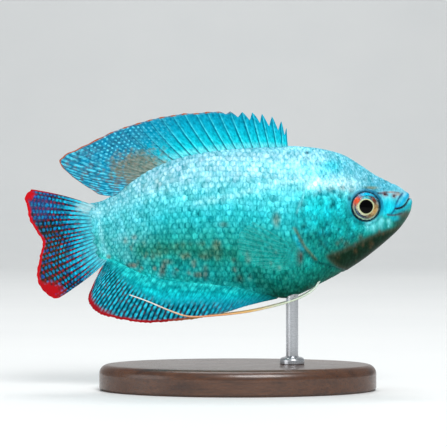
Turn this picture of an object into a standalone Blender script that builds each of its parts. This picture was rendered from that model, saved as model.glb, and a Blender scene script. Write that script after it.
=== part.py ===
"""A dwarf gourami at life size, swimming, held on a plain display stand.

The fish is described in millimetres in its own side view: s runs back from the snout,
h runs up from the lowest edge of the anal fin, and y runs to the fish's left. The
finished meshes are in metres, with the origin on the floor under the model's middle,
+X towards the snout, +Y to the fish's left and +Z up.
"""

import math

import bmesh
import bpy
import numpy as np
from mathutils import Vector

MM = 0.001

# Driving dimensions, in millimetres
TOTAL_LENGTH = 75.7
FIN_CLEARANCE = 13.0
GAP = 0.3
BASE_LENGTH = 54.0
BASE_WIDTH = 34.0
BASE_HEIGHT = 5.0
BASE_MIDDLE_S = 34.0
ROD_RADIUS = 1.2
ROD_S = 23.4
ROD_TOP_H = 7.4

# The body in side and top view: s, back line h, belly line h, half width
STATIONS = (
    (0.0, 23.8, 23.6, 0.1),
    (0.3, 24.75, 21.9, 0.85),
    (1.1, 25.5, 20.3, 1.45),
    (2.6, 26.6, 18.3, 2.05),
    (4.6, 27.7, 16.4, 2.7),
    (7.2, 29.0, 14.2, 3.4),
    (10.1, 30.9, 12.0, 4.05),
    (13.5, 32.9, 9.9, 4.65),
    (17.5, 34.0, 7.8, 5.1),
    (21.0, 34.45, 5.95, 5.3),
    (24.4, 34.6, 4.75, 5.3),
    (29.0, 34.5, 5.45, 5.1),
    (34.0, 34.25, 6.3, 4.7),
    (39.5, 33.7, 6.9, 4.15),
    (45.5, 32.55, 7.45, 3.4),
    (50.5, 30.7, 8.2, 2.65),
    (54.5, 28.3, 9.8, 2.0),
    (57.5, 25.8, 11.3, 1.5),
    (60.0, 24.1, 12.05, 1.15),
    (62.8, 23.4, 12.6, 0.9),
    (66.0, 23.2, 12.9, 0.75),
)
WIDEST_LEVEL = 0.5
FLANK_POWER = 2.4
RIDGE_POWER = 0.6

# Dividing lines in side view, as (s, h)
NAPE_LINE = (
    (20.7, 37.0),
    (20.7, 30.0),
    (21.1, 25.9),
    (22.2, 23.4),
    (22.8, 21.0),
    (22.6, 18.3),
    (21.8, 15.6),
    (20.3, 13.4),
    (17.9, 11.8),
    (15.0, 11.1),
    (12.1, 10.1),
    (9.6, 8.0),
)
TAIL_LINE = ((54.6, 37.0), (54.0, 27.0), (54.0, 19.0), (54.6, 4.0))
FAN_LINE = (
    (63.4, 27.0),
    (62.3, 23.5),
    (61.9, 20.6),
    (61.4, 17.5),
    (60.8, 14.6),
    (60.0, 12.0),
    (58.6, 8.5),
)
MOUTH_LINE = ((-1.2, 24.9), (0.3, 24.05), (1.7, 22.95), (2.9, 22.15), (3.7, 21.7))
JAW_REAR = ((4.4, 20.6), (4.8, 18.9), (5.5, 16.8), (6.4, 13.6))
JAW_CLEAR = ((3.0, 8.0), (-3.0, 8.0), (-3.0, 24.9))
GILL_OUTLINE = (
    (21.8, 25.7),
    (18.9, 25.9),
    (16.4, 25.6),
    (14.4, 24.7),
    (13.3, 22.8),
    (12.8, 20.1),
    (12.9, 17.0),
    (13.8, 14.4),
    (15.4, 12.7),
    (16.8, 11.1),
    (21.8, 9.4),
    (26.5, 12.0),
    (26.5, 24.0),
)
GILL_RISE = 0.3
GILL_THICKNESS = 0.9

# Head features
EYE_CENTRE = (9.2, 23.0)
EYE_RADIUS = 2.95
EYE_DEPTH = 1.5
EYE_SINK = 0.65
NOSTRILS = ((3.5, 24.85), (5.1, 25.35))
NOSTRIL_RADIUS = 0.3
ORBIT_RADIUS = 3.3
ORBIT_THICKNESS = 0.36
UPPER_LIP = ((3.5, 22.15), (2.5, 22.95), (1.4, 23.85), (0.75, 24.45))
UPPER_LIP_FRONT = (0.62, 24.6)
LOWER_LIP = ((3.4, 21.35), (2.3, 21.95), (1.1, 22.75), (0.4, 23.25))
LOWER_LIP_FRONT = (0.28, 23.4)
LIP_RADIUS = 0.42
LIP_CORNER_RADIUS = 0.2
LIP_SINK = 0.1

# Fins. Each guide ray is its root and its tip in side view; the rays between are
# interpolated. Roots of the dorsal and anal fins lie on the body's own lines.
DORSAL_GUIDES = (
    (24.2, 24.5, 38.1),
    (25.2, 25.5, 39.4),
    (26.3, 27.3, 40.3),
    (27.7, 29.3, 40.9),
    (29.3, 31.2, 41.15),
    (32.4, 35.5, 41.3),
    (35.7, 40.0, 41.25),
    (39.2, 44.5, 40.9),
    (42.7, 49.0, 40.2),
    (46.2, 53.6, 39.1),
    (49.3, 58.9, 37.2),
    (51.9, 64.7, 34.4),
    (54.2, 69.0, 31.8),
    (56.3, 66.5, 28.7),
    (57.9, 61.4, 25.2),
)
DORSAL_RAYS = 24
DORSAL_TEETH = 5
ANAL_GUIDES = (
    (25.4, 26.6, 4.1),
    (29.3, 31.8, 3.3),
    (33.3, 36.7, 1.9),
    (38.2, 41.9, 0.8),
    (43.3, 47.2, 0.15),
    (48.2, 52.5, 0.0),
    (51.9, 57.5, 0.7),
    (54.8, 61.4, 1.9),
    (57.1, 63.2, 4.3),
    (58.3, 62.5, 6.8),
    (59.2, 60.9, 10.0),
)
ANAL_RAYS = 24
CAUDAL_ROOT_TOP = 23.2
CAUDAL_ROOT_BOTTOM = 12.2
CAUDAL_TIPS = (
    (75.2, 25.9),
    (75.7, 24.4),
    (75.3, 22.3),
    (74.7, 20.3),
    (73.8, 18.3),
    (72.6, 16.5),
    (72.2, 15.1),
    (72.5, 13.4),
    (73.1, 11.6),
    (73.3, 9.5),
    (72.7, 7.2),
    (71.2, 5.3),
    (69.4, 4.7),
    (67.9, 5.6),
)
CAUDAL_RAYS = 15
CAUDAL_SPREAD = 0.03
PECTORAL_ROOT = ((22.3, 14.3), (22.5, 11.2))
PECTORAL_TIPS = (
    (31.2, 19.9),
    (33.6, 18.0),
    (34.4, 15.8),
    (33.6, 13.6),
    (31.6, 11.9),
    (28.9, 10.7),
    (26.3, 10.3),
)
PECTORAL_RAYS = 9
PECTORAL_LIFT = 2.6
RAY_ROOT = 0.58
RAY_TIP = 0.26
WEB_ROOT = 0.32
WEB_HALF = 0.25
WEB_TIP = 0.14
RIDGES = True

# Pelvic feelers: s, h and the distance from the fish's middle plane
FEELER_PATH = (
    (18.2, 8.2, 1.2),
    (19.0, 6.9, 1.6),
    (20.6, 5.7, 1.95),
    (23.2, 4.5, 2.2),
    (27.0, 3.4, 2.3),
    (32.0, 2.3, 2.25),
    (38.0, 1.6, 2.1),
    (43.3, 1.35, 1.9),
    (47.2, 2.5, 1.9),
    (51.2, 4.2, 2.1),
    (55.0, 5.6, 2.4),
)
FEELER_ROOT_RADIUS = 0.42
FEELER_RADIUS = 0.27
FEELER_TIP_RADIUS = 0.15

# Finish of each node: colour, metallic, roughness
FINISHES = {
    "skin": ((0.16, 0.68, 0.74), 0.2, 0.35),
    "fin": ((0.05, 0.42, 0.66), 0.0, 0.4),
    "clear_fin": ((0.35, 0.62, 0.6), 0.0, 0.3),
    "feeler": ((0.95, 0.55, 0.3), 0.0, 0.4),
    "eye": ((0.06, 0.05, 0.05), 0.0, 0.08),
    "wood": ((0.12, 0.06, 0.035), 0.0, 0.35),
    "steel": ((0.6, 0.6, 0.62), 1.0, 0.28),
}


def clear_scene():
    for obj in list(bpy.data.objects):
        bpy.data.objects.remove(obj)


def curve_through(points, per_span):
    """Points along a smooth curve that passes through every given row."""
    rows = np.array(points, float)
    before = 2 * rows[0] - rows[1]
    after = 2 * rows[-1] - rows[-2]
    rows = np.vstack([before, rows, after])
    out = []
    for i in range(1, len(rows) - 2):
        a, b, c, d = rows[i - 1 : i + 3]
        for k in range(per_span):
            t = k / per_span
            out.append(
                0.5
                * (
                    2 * b
                    + (c - a) * t
                    + (2 * a - 5 * b + 4 * c - d) * t**2
                    + (3 * b - a - 3 * c + d) * t**3
                )
            )
    out.append(rows[-2])
    return np.array(out)


def rows_at(points, places):
    """The same curve read at places counted in rows, from 0 to len(points) - 1."""
    per_span = 16
    fine = curve_through(points, per_span)
    steps = np.arange(len(fine)) / per_span
    return np.column_stack([np.interp(places, steps, c) for c in fine.T])


PROFILE = curve_through(STATIONS, 12)


def back_h(s):
    return np.interp(s, PROFILE[:, 0], PROFILE[:, 1])


def belly_h(s):
    return np.interp(s, PROFILE[:, 0], PROFILE[:, 2])


def half_width(s):
    return np.interp(s, PROFILE[:, 0], PROFILE[:, 3])


def flank_y(s, h):
    """How far the body's side stands from the middle plane at a point in side view."""
    level = belly_h(s) + WIDEST_LEVEL * (back_h(s) - belly_h(s))
    span = np.where(h > level, back_h(s) - level, level - belly_h(s))
    share = np.clip(np.abs(h - level) / span, 0, 1)
    return half_width(s) * (1 - share**FLANK_POWER) ** RIDGE_POWER


def to_world(point):
    """From (s, y, h) in millimetres to the model's frame in metres."""
    s, y, h = point
    return Vector((TOTAL_LENGTH / 2 - s, y, FIN_CLEARANCE + h)) * MM


def make_object(name, points, faces, finish):
    """A closed mesh object from (s, y, h) points, with its faces turned outwards."""
    mesh = bpy.data.meshes.new(name)
    mesh.from_pydata([to_world(p) for p in points], [], faces)
    work = bmesh.new()
    work.from_mesh(mesh)
    bmesh.ops.remove_doubles(work, verts=work.verts, dist=1e-7)
    bmesh.ops.recalc_face_normals(work, faces=work.faces)
    bmesh.ops.triangulate(work, faces=work.faces)
    if work.calc_volume(signed=True) < 0:
        bmesh.ops.reverse_faces(work, faces=work.faces)
    work.to_mesh(mesh)
    work.free()
    obj = bpy.data.objects.new(name, mesh)
    bpy.context.scene.collection.objects.link(obj)
    if finish:
        mesh.materials.append(material(finish))
    return obj


def material(name):
    found = bpy.data.materials.get(name)
    if found:
        return found
    colour, metallic, roughness = FINISHES[name]
    made = bpy.data.materials.new(name)
    made.use_nodes = True
    shader = made.node_tree.nodes["Principled BSDF"]
    shader.inputs["Base Color"].default_value = (*colour, 1.0)
    shader.inputs["Metallic"].default_value = metallic
    shader.inputs["Roughness"].default_value = roughness
    return made


def combine(obj, other, operation):
    """Applies one Boolean between two objects and removes the second."""
    modifier = obj.modifiers.new("Boolean", "BOOLEAN")
    modifier.operation = operation
    modifier.object = other
    modifier.solver = "MANIFOLD"
    graph = bpy.context.evaluated_depsgraph_get()
    mesh = bpy.data.meshes.new_from_object(obj.evaluated_get(graph))
    obj.modifiers.clear()
    obj.data = mesh
    bpy.data.objects.remove(other)
    return obj


def keep_largest(obj):
    """Leaves an object's largest closed surface and shades it smooth."""
    work = bmesh.new()
    work.from_mesh(obj.data)
    left = set(work.verts)
    shells = []
    while left:
        shell = set()
        edge = [left.pop()]
        while edge:
            vert = edge.pop()
            shell.add(vert)
            for link in vert.link_edges:
                other = link.other_vert(vert)
                if other in left:
                    left.remove(other)
                    edge.append(other)
        shells.append(shell)
    shells.sort(key=lambda shell: shell_size(shell), reverse=True)
    for shell in shells[1:]:
        bmesh.ops.delete(work, geom=list(shell), context="VERTS")
    work.to_mesh(obj.data)
    work.free()
    finish_shading(obj)
    return obj


def shell_size(shell):
    corners = np.array([vert.co for vert in shell])
    return np.ptp(corners, axis=0).sum()


def finish_shading(obj, angle=40.0):
    obj.data.shade_smooth()
    obj.data.set_sharp_from_angle(angle=math.radians(angle))


def body_loft(name, places, around, swell=0.0, finish=None):
    """The body's closed surface over the given places along s, swollen outwards."""
    rings, points = [], []
    for s in places:
        top = back_h(s) + swell
        bottom = belly_h(s) - swell
        level = bottom + WIDEST_LEVEL * (top - bottom)
        ring = []
        for k in range(around):
            turn = 2 * math.pi * k / around
            across = 1 - abs(math.cos(turn)) ** FLANK_POWER
            y = (half_width(s) + swell) * across**RIDGE_POWER
            h = level + (top - level) * math.cos(turn)
            ring.append(len(points))
            points.append((s, math.copysign(y, math.sin(turn)), h))
        rings.append(ring)
    faces = []
    for first, second in zip(rings, rings[1:]):
        for k in range(around):
            n = (k + 1) % around
            faces.append((first[k], first[n], second[n], second[k]))
    for s, ring, step in ((places[0], rings[0], 1), (places[-1], rings[-1], -1)):
        centre = len(points)
        points.append((s, 0.0, (back_h(s) + belly_h(s)) / 2))
        for k in range(around):
            faces.append((ring[k], ring[(k + step) % around], centre))
    return make_object(name, points, faces, finish)


def head_places(count, last):
    """Places along the head, closer together towards the snout."""
    return [last * (k / count) ** 1.6 for k in range(count + 1)]


def shifted(line, distance):
    """A line moved sideways, to the left of its direction in (s, h)."""
    line = np.array(line, float)
    along = np.gradient(line, axis=0)
    along /= np.linalg.norm(along, axis=1)[:, None]
    return line + distance * np.column_stack([-along[:, 1], along[:, 0]])


def grown(outline, distance):
    """A closed outline moved outwards, or inwards where distance is negative."""
    outline = np.array(outline, float)
    along = np.roll(outline, -1, axis=0) - np.roll(outline, 1, axis=0)
    along /= np.linalg.norm(along, axis=1)[:, None]
    out = np.column_stack([along[:, 1], -along[:, 0]])
    area = np.sum(
        outline[:, 0] * np.roll(outline[:, 1], -1)
        - outline[:, 1] * np.roll(outline[:, 0], -1)
    )
    return outline + distance * math.copysign(1.0, area) * out


def prism(outline, left=12.0, right=-12.0):
    """A side-view outline extended across the body, as a cutter."""
    count = len(outline)
    points = [(s, right, h) for s, h in outline] + [(s, left, h) for s, h in outline]
    faces = [tuple(range(count)), tuple(range(count, 2 * count))]
    for k in range(count):
        n = (k + 1) % count
        faces.append((k, n, n + count, k + count))
    return make_object("cutter", points, faces, None)


def behind(line, distance):
    """A cutter for all that lies behind a line that runs from top to bottom."""
    edge = shifted(curve_through(line, 3), distance)
    return prism([*edge, (80.0, edge[-1][1]), (80.0, edge[0][1])])


def ahead(line, distance):
    """A cutter for all that lies ahead of a line that runs from top to bottom."""
    edge = shifted(curve_through(line, 3), distance)
    return prism([*edge, (-9.0, edge[-1][1]), (-9.0, edge[0][1])])


def jaw_outline():
    mouth = curve_through(MOUTH_LINE, 3)
    rear = curve_through(JAW_REAR, 2)
    return [*mouth, *rear, *JAW_CLEAR]


def ball(centre, radii, segments, rings, finish=None, name="ball", lean=0.0):
    """An ellipsoid with its poles on the y axis, leaning in y by a share of s."""
    points, faces = [], []
    for i in range(1, rings):
        polar = math.pi * i / rings
        for k in range(segments):
            turn = 2 * math.pi * k / segments
            ds = radii[0] * math.sin(polar) * math.cos(turn)
            dy = radii[1] * math.cos(polar) + lean * ds
            dh = radii[2] * math.sin(polar) * math.sin(turn)
            points.append((centre[0] + ds, centre[1] + dy, centre[2] + dh))
    for i in range(rings - 2):
        for k in range(segments):
            n = (k + 1) % segments
            a, b = i * segments, (i + 1) * segments
            faces.append((a + k, a + n, b + n, b + k))
    for row, pole in ((0, 1), (rings - 2, -1)):
        tip = len(points)
        points.append((centre[0], centre[1] + pole * radii[1], centre[2]))
        for k in range(segments):
            faces.append((row * segments + k, row * segments + (k + 1) % segments, tip))
    return make_object(name, points, faces, finish)


def tube(name, path, radii, sides, finish=None):
    """A round tube with closed ends along a path of (s, y, h) points."""
    path = [Vector(p) for p in path]
    points, faces = [], []
    across = Vector((0, 1, 0))
    for k, place in enumerate(path):
        along = path[min(k + 1, len(path) - 1)] - path[max(k - 1, 0)]
        along.normalize()
        up = along.cross(across).normalized()
        across = up.cross(along).normalized()
        for i in range(sides):
            turn = 2 * math.pi * i / sides
            offset = (up * math.cos(turn) + across * math.sin(turn)) * radii[k]
            points.append(place + offset)
    for k in range(len(path) - 1):
        for i in range(sides):
            n = (i + 1) % sides
            a, b = k * sides, (k + 1) * sides
            faces.append((a + i, a + n, b + n, b + i))
    last = (len(path) - 1) * sides
    faces.append(tuple(range(sides)))
    faces.append(tuple(range(last, last + sides)))
    return make_object(name, points, faces, finish)


def orbit_rim(side):
    """A low rounded rim in the skin round the eye."""
    s, h = EYE_CENTRE
    sides, around = 6, 24
    points, faces = [], []
    for k in range(around):
        turn = 2 * math.pi * k / around
        ds, dh = math.cos(turn), math.sin(turn)
        y = float(flank_y(s + ORBIT_RADIUS * ds, h + ORBIT_RADIUS * dh))
        for i in range(sides):
            roll = 2 * math.pi * i / sides
            reach = ORBIT_RADIUS + ORBIT_THICKNESS * math.cos(roll)
            lift = ORBIT_THICKNESS * math.sin(roll)
            points.append((s + reach * ds, side * (y + lift), h + reach * dh))
    for k in range(around):
        for i in range(sides):
            n, m = (k + 1) % around, (i + 1) % sides
            faces.append(
                (k * sides + i, n * sides + i, n * sides + m, k * sides + m)
            )
    return make_object("orbit_rim", points, faces, None)


def eyeball(side, spare=0.0, finish=None, name="socket"):
    """The eye, or with spare its socket, set square to the head's own surface."""
    s, h = EYE_CENTRE
    y = float(flank_y(s, h)) - EYE_SINK
    lean = float(flank_y(s + 1, h) - flank_y(s - 1, h)) / 2
    radii = np.array((EYE_RADIUS, EYE_DEPTH, EYE_RADIUS)) + spare
    return ball((s, side * y, h), radii, 24, 10, finish, name, side * lean)


def eye(name, side):
    made = eyeball(side, finish="eye", name=name)
    finish_shading(made)
    return made


def lip(line, front):
    """A lip swept round the snout from one corner of the mouth to the other."""
    sides = curve_through([*line, front], 2)
    count = len(sides)
    right = [(s, LIP_SINK - float(flank_y(s, h)), h) for s, h in sides[:-1]]
    left = [(s, -y, h) for s, y, h in reversed(right)]
    path = [*right, (front[0], 0.0, front[1]), *left]
    grow = [
        LIP_CORNER_RADIUS + (LIP_RADIUS - LIP_CORNER_RADIUS) * k / (count - 1)
        for k in range(count)
    ]
    return tube("lip", path, [*grow, *reversed(grow[:-1])], 8)


def head():
    made = body_loft("head", head_places(24, 24.5), 32, finish="skin")
    combine(made, behind(NAPE_LINE, -GAP / 2), "DIFFERENCE")
    combine(made, prism(grown(jaw_outline(), GAP)), "DIFFERENCE")
    combine(made, gill_recess(), "DIFFERENCE")
    combine(made, lip(UPPER_LIP, UPPER_LIP_FRONT), "UNION")
    for side in (1, -1):
        combine(made, orbit_rim(side), "UNION")
        combine(made, eyeball(side, GAP), "DIFFERENCE")
        for place in NOSTRILS:
            y = side * float(flank_y(*place))
            pit = ball(
                (place[0], y, place[1]),
                (NOSTRIL_RADIUS, 2 * NOSTRIL_RADIUS, NOSTRIL_RADIUS),
                8,
                4,
            )
            combine(made, pit, "DIFFERENCE")
    return keep_largest(made)


def lower_jaw():
    made = body_loft("lower_jaw", head_places(16, 9.0), 32, finish="skin")
    combine(made, prism(jaw_outline()), "INTERSECT")
    combine(made, lip(LOWER_LIP, LOWER_LIP_FRONT), "UNION")
    return keep_largest(made)


def gill_places():
    return [11.0 + 0.8 * k for k in range(18)]


def gill_recess():
    """The hollow in the head that a pair of gill covers fills."""
    block = prism(grown(gill_curve(), GAP / 2))
    core = body_loft("core", gill_places(), 24, swell=-GILL_THICKNESS - GAP)
    return combine(block, core, "DIFFERENCE")


def gill_curve():
    front = curve_through(GILL_OUTLINE[:10], 2)
    return [*front, *GILL_OUTLINE[10:]]


def gill_cover(name, side):
    made = body_loft(name, gill_places(), 28, swell=GILL_RISE, finish="skin")
    edge = 12.0 * side
    block = prism(grown(gill_curve(), -GAP / 2), max(edge, 0.0), min(edge, 0.0))
    combine(made, block, "INTERSECT")
    core = body_loft("core", gill_places(), 24, swell=-GILL_THICKNESS)
    combine(made, core, "DIFFERENCE")
    combine(made, behind(NAPE_LINE, -GAP / 2), "DIFFERENCE")
    return keep_largest(made)


def trunk_places(first, last, count):
    return [first + (last - first) * k / count for k in range(count + 1)]


def trunk():
    made = body_loft("trunk", trunk_places(9.5, 57.0, 28), 30, finish="skin")
    combine(made, ahead(NAPE_LINE, GAP / 2), "DIFFERENCE")
    combine(made, behind(TAIL_LINE, -GAP / 2), "DIFFERENCE")
    socket = tube(
        "socket",
        [(ROD_S, 0.0, -2.0), (ROD_S, 0.0, ROD_TOP_H + GAP)],
        [ROD_RADIUS + GAP] * 2,
        16,
    )
    combine(made, socket, "DIFFERENCE")
    return keep_largest(made)


def tail_stalk():
    made = body_loft("tail_stalk", trunk_places(52.0, 65.5, 12), 28, finish="skin")
    combine(made, ahead(TAIL_LINE, GAP / 2), "DIFFERENCE")
    combine(made, behind(FAN_LINE, -GAP / 2), "DIFFERENCE")
    return keep_largest(made)


def fin_columns(rays, teeth):
    """Places of a fin's columns, counted in rays: crests, and the web between."""
    feet = (0.0, 0.2, 0.5, 0.8) if RIDGES else (0.0, 0.5)
    places = []
    for ray in range(rays - 1):
        for foot in feet:
            if foot == 0.5 and ray >= teeth and RIDGES:
                continue
            places.append(ray + foot)
    return np.array([*places, rays - 1.0])


def fin_sheet(name, roots, tips, rays, rows, finish, bend=None, teeth=0, notch=0.03, lie=None):
    """A fin as one closed sheet whose rays stand up as ridges on both faces.

    roots and tips are matching guide rows of (s, h); bend is each guide ray's bow as
    a share of its length; teeth counts the free spine tips at the front; lie gives the middle
    surface's y at (s, h, share along the ray).
    """
    places = fin_columns(rays, teeth)
    guide_places = places / (rays - 1) * (len(roots) - 1)
    roots = rows_at(roots, guide_places)
    tips = rows_at(tips, guide_places)
    bow = np.zeros(len(places))
    if bend is not None:
        bow = np.interp(guide_places, np.arange(len(bend)), bend)
    middle = np.zeros((len(places), rows + 1, 3))
    half = np.zeros((len(places), rows + 1))
    for j, place in enumerate(places):
        off_crest = abs(place - round(place)) * 2
        depth = notch + 0.26 * max(0.0, 1 - place / teeth) if teeth else notch
        reach = 1 - depth * off_crest**0.8
        along = tips[j] - roots[j]
        side = np.array([-along[1], along[0]])
        for k in range(rows + 1):
            v = k / rows * reach
            s, h = roots[j] + along * v + side * bow[j] * 4 * v * (1 - v)
            middle[j, k] = (s, lie(s, h, v) if lie else 0.0, h)
            half[j, k] = fin_half(v, off_crest < 0.01 and RIDGES)
    return make_object(name, *sheet_mesh(middle, half), finish)


def fin_half(v, on_ray):
    """Half the fin's thickness at a share of the way to the tip."""
    if on_ray:
        return RAY_TIP + (RAY_ROOT - RAY_TIP) * (1 - v)
    web = WEB_HALF + (WEB_ROOT - WEB_HALF) * max(0.0, 1 - 5 * v)
    return web - (WEB_HALF - WEB_TIP) * max(0.0, v - 0.8) / 0.2


def sheet_mesh(middle, half):
    """Both faces of a sheet and its rim, with triangles alike on the two faces."""
    columns, rows = half.shape
    across = np.gradient(middle, axis=0)
    along = np.gradient(middle, axis=1)
    normal = np.cross(across, along)
    normal /= np.maximum(np.linalg.norm(normal, axis=2), 1e-9)[:, :, None]
    front = middle + normal * half[:, :, None]
    back = middle - normal * half[:, :, None]
    points = [*front.reshape(-1, 3), *back.reshape(-1, 3)]
    count = columns * rows
    faces = []

    def at(j, k):
        return j * rows + k

    for j in range(columns - 1):
        for k in range(rows - 1):
            a, b, c, d = at(j, k), at(j + 1, k), at(j + 1, k + 1), at(j, k + 1)
            faces += [(a, b, c), (a, c, d)]
            faces += [(count + a, count + c, count + b), (count + a, count + d, count + c)]
    rim = [at(j, 0) for j in range(columns)]
    rim += [at(columns - 1, k) for k in range(1, rows)]
    rim += [at(j, rows - 1) for j in range(columns - 2, -1, -1)]
    rim += [at(0, k) for k in range(rows - 2, 0, -1)]
    for a, b in zip(rim, rim[1:] + rim[:1]):
        faces += [(a, count + a, b), (b, count + a, count + b)]
    return points, faces


def dorsal_fin():
    roots = [(g[0], float(back_h(g[0])) + GAP) for g in DORSAL_GUIDES]
    tips = [g[1:] for g in DORSAL_GUIDES]
    bend = np.linspace(0.0, -0.05, len(roots))
    made = fin_sheet(
        "dorsal_fin", roots, tips, DORSAL_RAYS, 5, "fin", bend, DORSAL_TEETH
    )
    finish_shading(made)
    return made


def anal_fin():
    roots = [(g[0], float(belly_h(g[0])) - GAP) for g in ANAL_GUIDES]
    tips = [g[1:] for g in ANAL_GUIDES]
    bend = np.linspace(0.0, 0.04, len(roots))
    made = fin_sheet("anal_fin", roots, tips, ANAL_RAYS, 4, "fin", bend)
    finish_shading(made)
    return made


def fan_root(h):
    """s of the line where the tail fin's rays leave the tail stalk."""
    line = curve_through(FAN_LINE, 6)[::-1]
    return float(np.interp(h, line[:, 1], line[:, 0]))


def caudal_fin():
    heights = np.linspace(CAUDAL_ROOT_TOP, CAUDAL_ROOT_BOTTOM, len(CAUDAL_TIPS))
    roots = [(fan_root(h) + GAP / 2, h) for h in heights]
    bend = np.linspace(CAUDAL_SPREAD, -CAUDAL_SPREAD, len(roots))
    made = fin_sheet("caudal_fin", roots, CAUDAL_TIPS, CAUDAL_RAYS, 6, "fin", bend)
    finish_shading(made)
    return made


def pectoral_fin(name, side):
    """A paddle that leans out from the flank, on a fleshy root against the trunk."""
    places = np.linspace(0, 1, len(PECTORAL_TIPS))
    top, bottom = np.array(PECTORAL_ROOT)
    roots = [tuple(top + (bottom - top) * p) for p in places]

    def lie(s, h, v):
        clear = GAP + RAY_ROOT + PECTORAL_LIFT * v**1.3
        return side * (float(flank_y(s, h)) + clear)

    made = fin_sheet(
        name, roots, PECTORAL_TIPS, PECTORAL_RAYS, 4, "clear_fin", lie=lie
    )
    s, h = (top + bottom) / 2
    y = side * (float(flank_y(s, h)) + GAP + 0.25)
    root = ball((s + 0.1, y, h), (0.9, 0.95, 1.9), 16, 8)
    combine(made, root, "UNION")
    core = body_loft("core", trunk_places(17.0, 40.0, 24), 32, swell=GAP)
    combine(made, core, "DIFFERENCE")
    return keep_largest(made)


def pelvic_feeler(name, side):
    """The long thread that takes the place of each pelvic fin."""
    path = curve_through([(s, side * y, h) for s, h, y in FEELER_PATH], 3)
    share = np.linspace(0, 1, len(path))
    radii = np.interp(
        share,
        (0.0, 0.12, 0.85, 1.0),
        (FEELER_ROOT_RADIUS, FEELER_RADIUS, FEELER_RADIUS, FEELER_TIP_RADIUS),
    )
    made = tube(name, path, radii, 8, "feeler")
    core = body_loft("core", trunk_places(12.0, 30.0, 20), 32, swell=GAP)
    combine(made, core, "DIFFERENCE")
    return keep_largest(made)


def stand_base():
    """An oval plinth with an eased upper edge, and a socket for the rod."""
    profile = ((0.5, 0.0), (0.0, 0.5), (0.0, 3.6), (0.35, 4.4), (1.1, 4.9), (2.2, 5.0))
    sides = 48
    points, faces = [], []
    for inset, z in profile:
        for k in range(sides):
            turn = 2 * math.pi * k / sides
            s = BASE_MIDDLE_S + (BASE_LENGTH / 2 - inset) * math.cos(turn)
            y = (BASE_WIDTH / 2 - inset) * math.sin(turn)
            points.append((s, y, z * BASE_HEIGHT / profile[-1][1] - FIN_CLEARANCE))
    for i in range(len(profile) - 1):
        for k in range(sides):
            n = (k + 1) % sides
            a, b = i * sides, (i + 1) * sides
            faces.append((a + k, a + n, b + n, b + k))
    last = (len(profile) - 1) * sides
    faces.append(tuple(range(sides)))
    faces.append(tuple(range(last, last + sides)))
    made = make_object("stand_base", points, faces, "wood")
    floor = BASE_HEIGHT - FIN_CLEARANCE
    socket = tube(
        "socket",
        [(ROD_S, 0.0, floor - 3.0), (ROD_S, 0.0, floor + 2.0)],
        [ROD_RADIUS + GAP] * 2,
        16,
    )
    combine(made, socket, "DIFFERENCE")
    return keep_largest(made)


def stand_rod():
    """A turned rod with a collar that sits on the plinth."""
    floor = BASE_HEIGHT - FIN_CLEARANCE
    collar = 2.4
    profile = (
        (ROD_RADIUS, floor - 3.0 + GAP),
        (ROD_RADIUS, floor + GAP),
        (collar, floor + GAP),
        (collar, floor + 0.9),
        (collar - 0.4, floor + 1.3),
        (ROD_RADIUS, floor + 1.6),
        (ROD_RADIUS, ROD_TOP_H),
    )
    sides = 20
    points, faces = [], []
    for radius, h in profile:
        for k in range(sides):
            turn = 2 * math.pi * k / sides
            points.append(
                (ROD_S + radius * math.cos(turn), radius * math.sin(turn), h)
            )
    for i in range(len(profile) - 1):
        for k in range(sides):
            n = (k + 1) % sides
            a, b = i * sides, (i + 1) * sides
            faces.append((a + k, a + n, b + n, b + k))
    last = (len(profile) - 1) * sides
    faces.append(tuple(range(sides)))
    faces.append(tuple(range(last, last + sides)))
    made = make_object("stand_rod", points, faces, "steel")
    finish_shading(made)
    return made


def main():
    clear_scene()
    head()
    lower_jaw()
    trunk()
    tail_stalk()
    for word, side in (("left", 1), ("right", -1)):
        eye(f"eye_{word}", side)
        gill_cover(f"gill_cover_{word}", side)
        pectoral_fin(f"pectoral_fin_{word}", side)
        pelvic_feeler(f"pelvic_feeler_{word}", side)
    dorsal_fin()
    anal_fin()
    caudal_fin()
    stand_base()
    stand_rod()


main()
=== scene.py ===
"""The dressed dwarf gourami on its stand: skin, scale coat, fins, eyes and feelers.

Shapes are described in millimetres in the fish's side view, as in the part's source:
s runs back from the snout, h runs up from the anal fin's lowest edge, and y runs to the
fish's left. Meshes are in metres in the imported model's own frame.
"""

import math

import bpy
import numpy as np
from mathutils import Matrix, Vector


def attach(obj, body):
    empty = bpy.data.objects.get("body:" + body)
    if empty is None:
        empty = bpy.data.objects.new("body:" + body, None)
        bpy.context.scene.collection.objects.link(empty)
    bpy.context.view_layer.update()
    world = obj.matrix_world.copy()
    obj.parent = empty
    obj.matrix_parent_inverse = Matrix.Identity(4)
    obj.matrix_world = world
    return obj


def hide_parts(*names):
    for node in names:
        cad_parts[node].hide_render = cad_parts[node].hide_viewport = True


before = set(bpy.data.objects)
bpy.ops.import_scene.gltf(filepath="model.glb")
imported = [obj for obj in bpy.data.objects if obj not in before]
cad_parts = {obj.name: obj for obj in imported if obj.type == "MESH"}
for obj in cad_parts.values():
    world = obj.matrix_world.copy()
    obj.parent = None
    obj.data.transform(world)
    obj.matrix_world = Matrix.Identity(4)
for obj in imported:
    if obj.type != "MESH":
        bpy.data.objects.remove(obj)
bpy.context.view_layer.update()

MM = 0.001
TOTAL_LENGTH = 75.7
FIN_CLEARANCE = 13.0
chance = np.random.default_rng(11)

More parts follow.
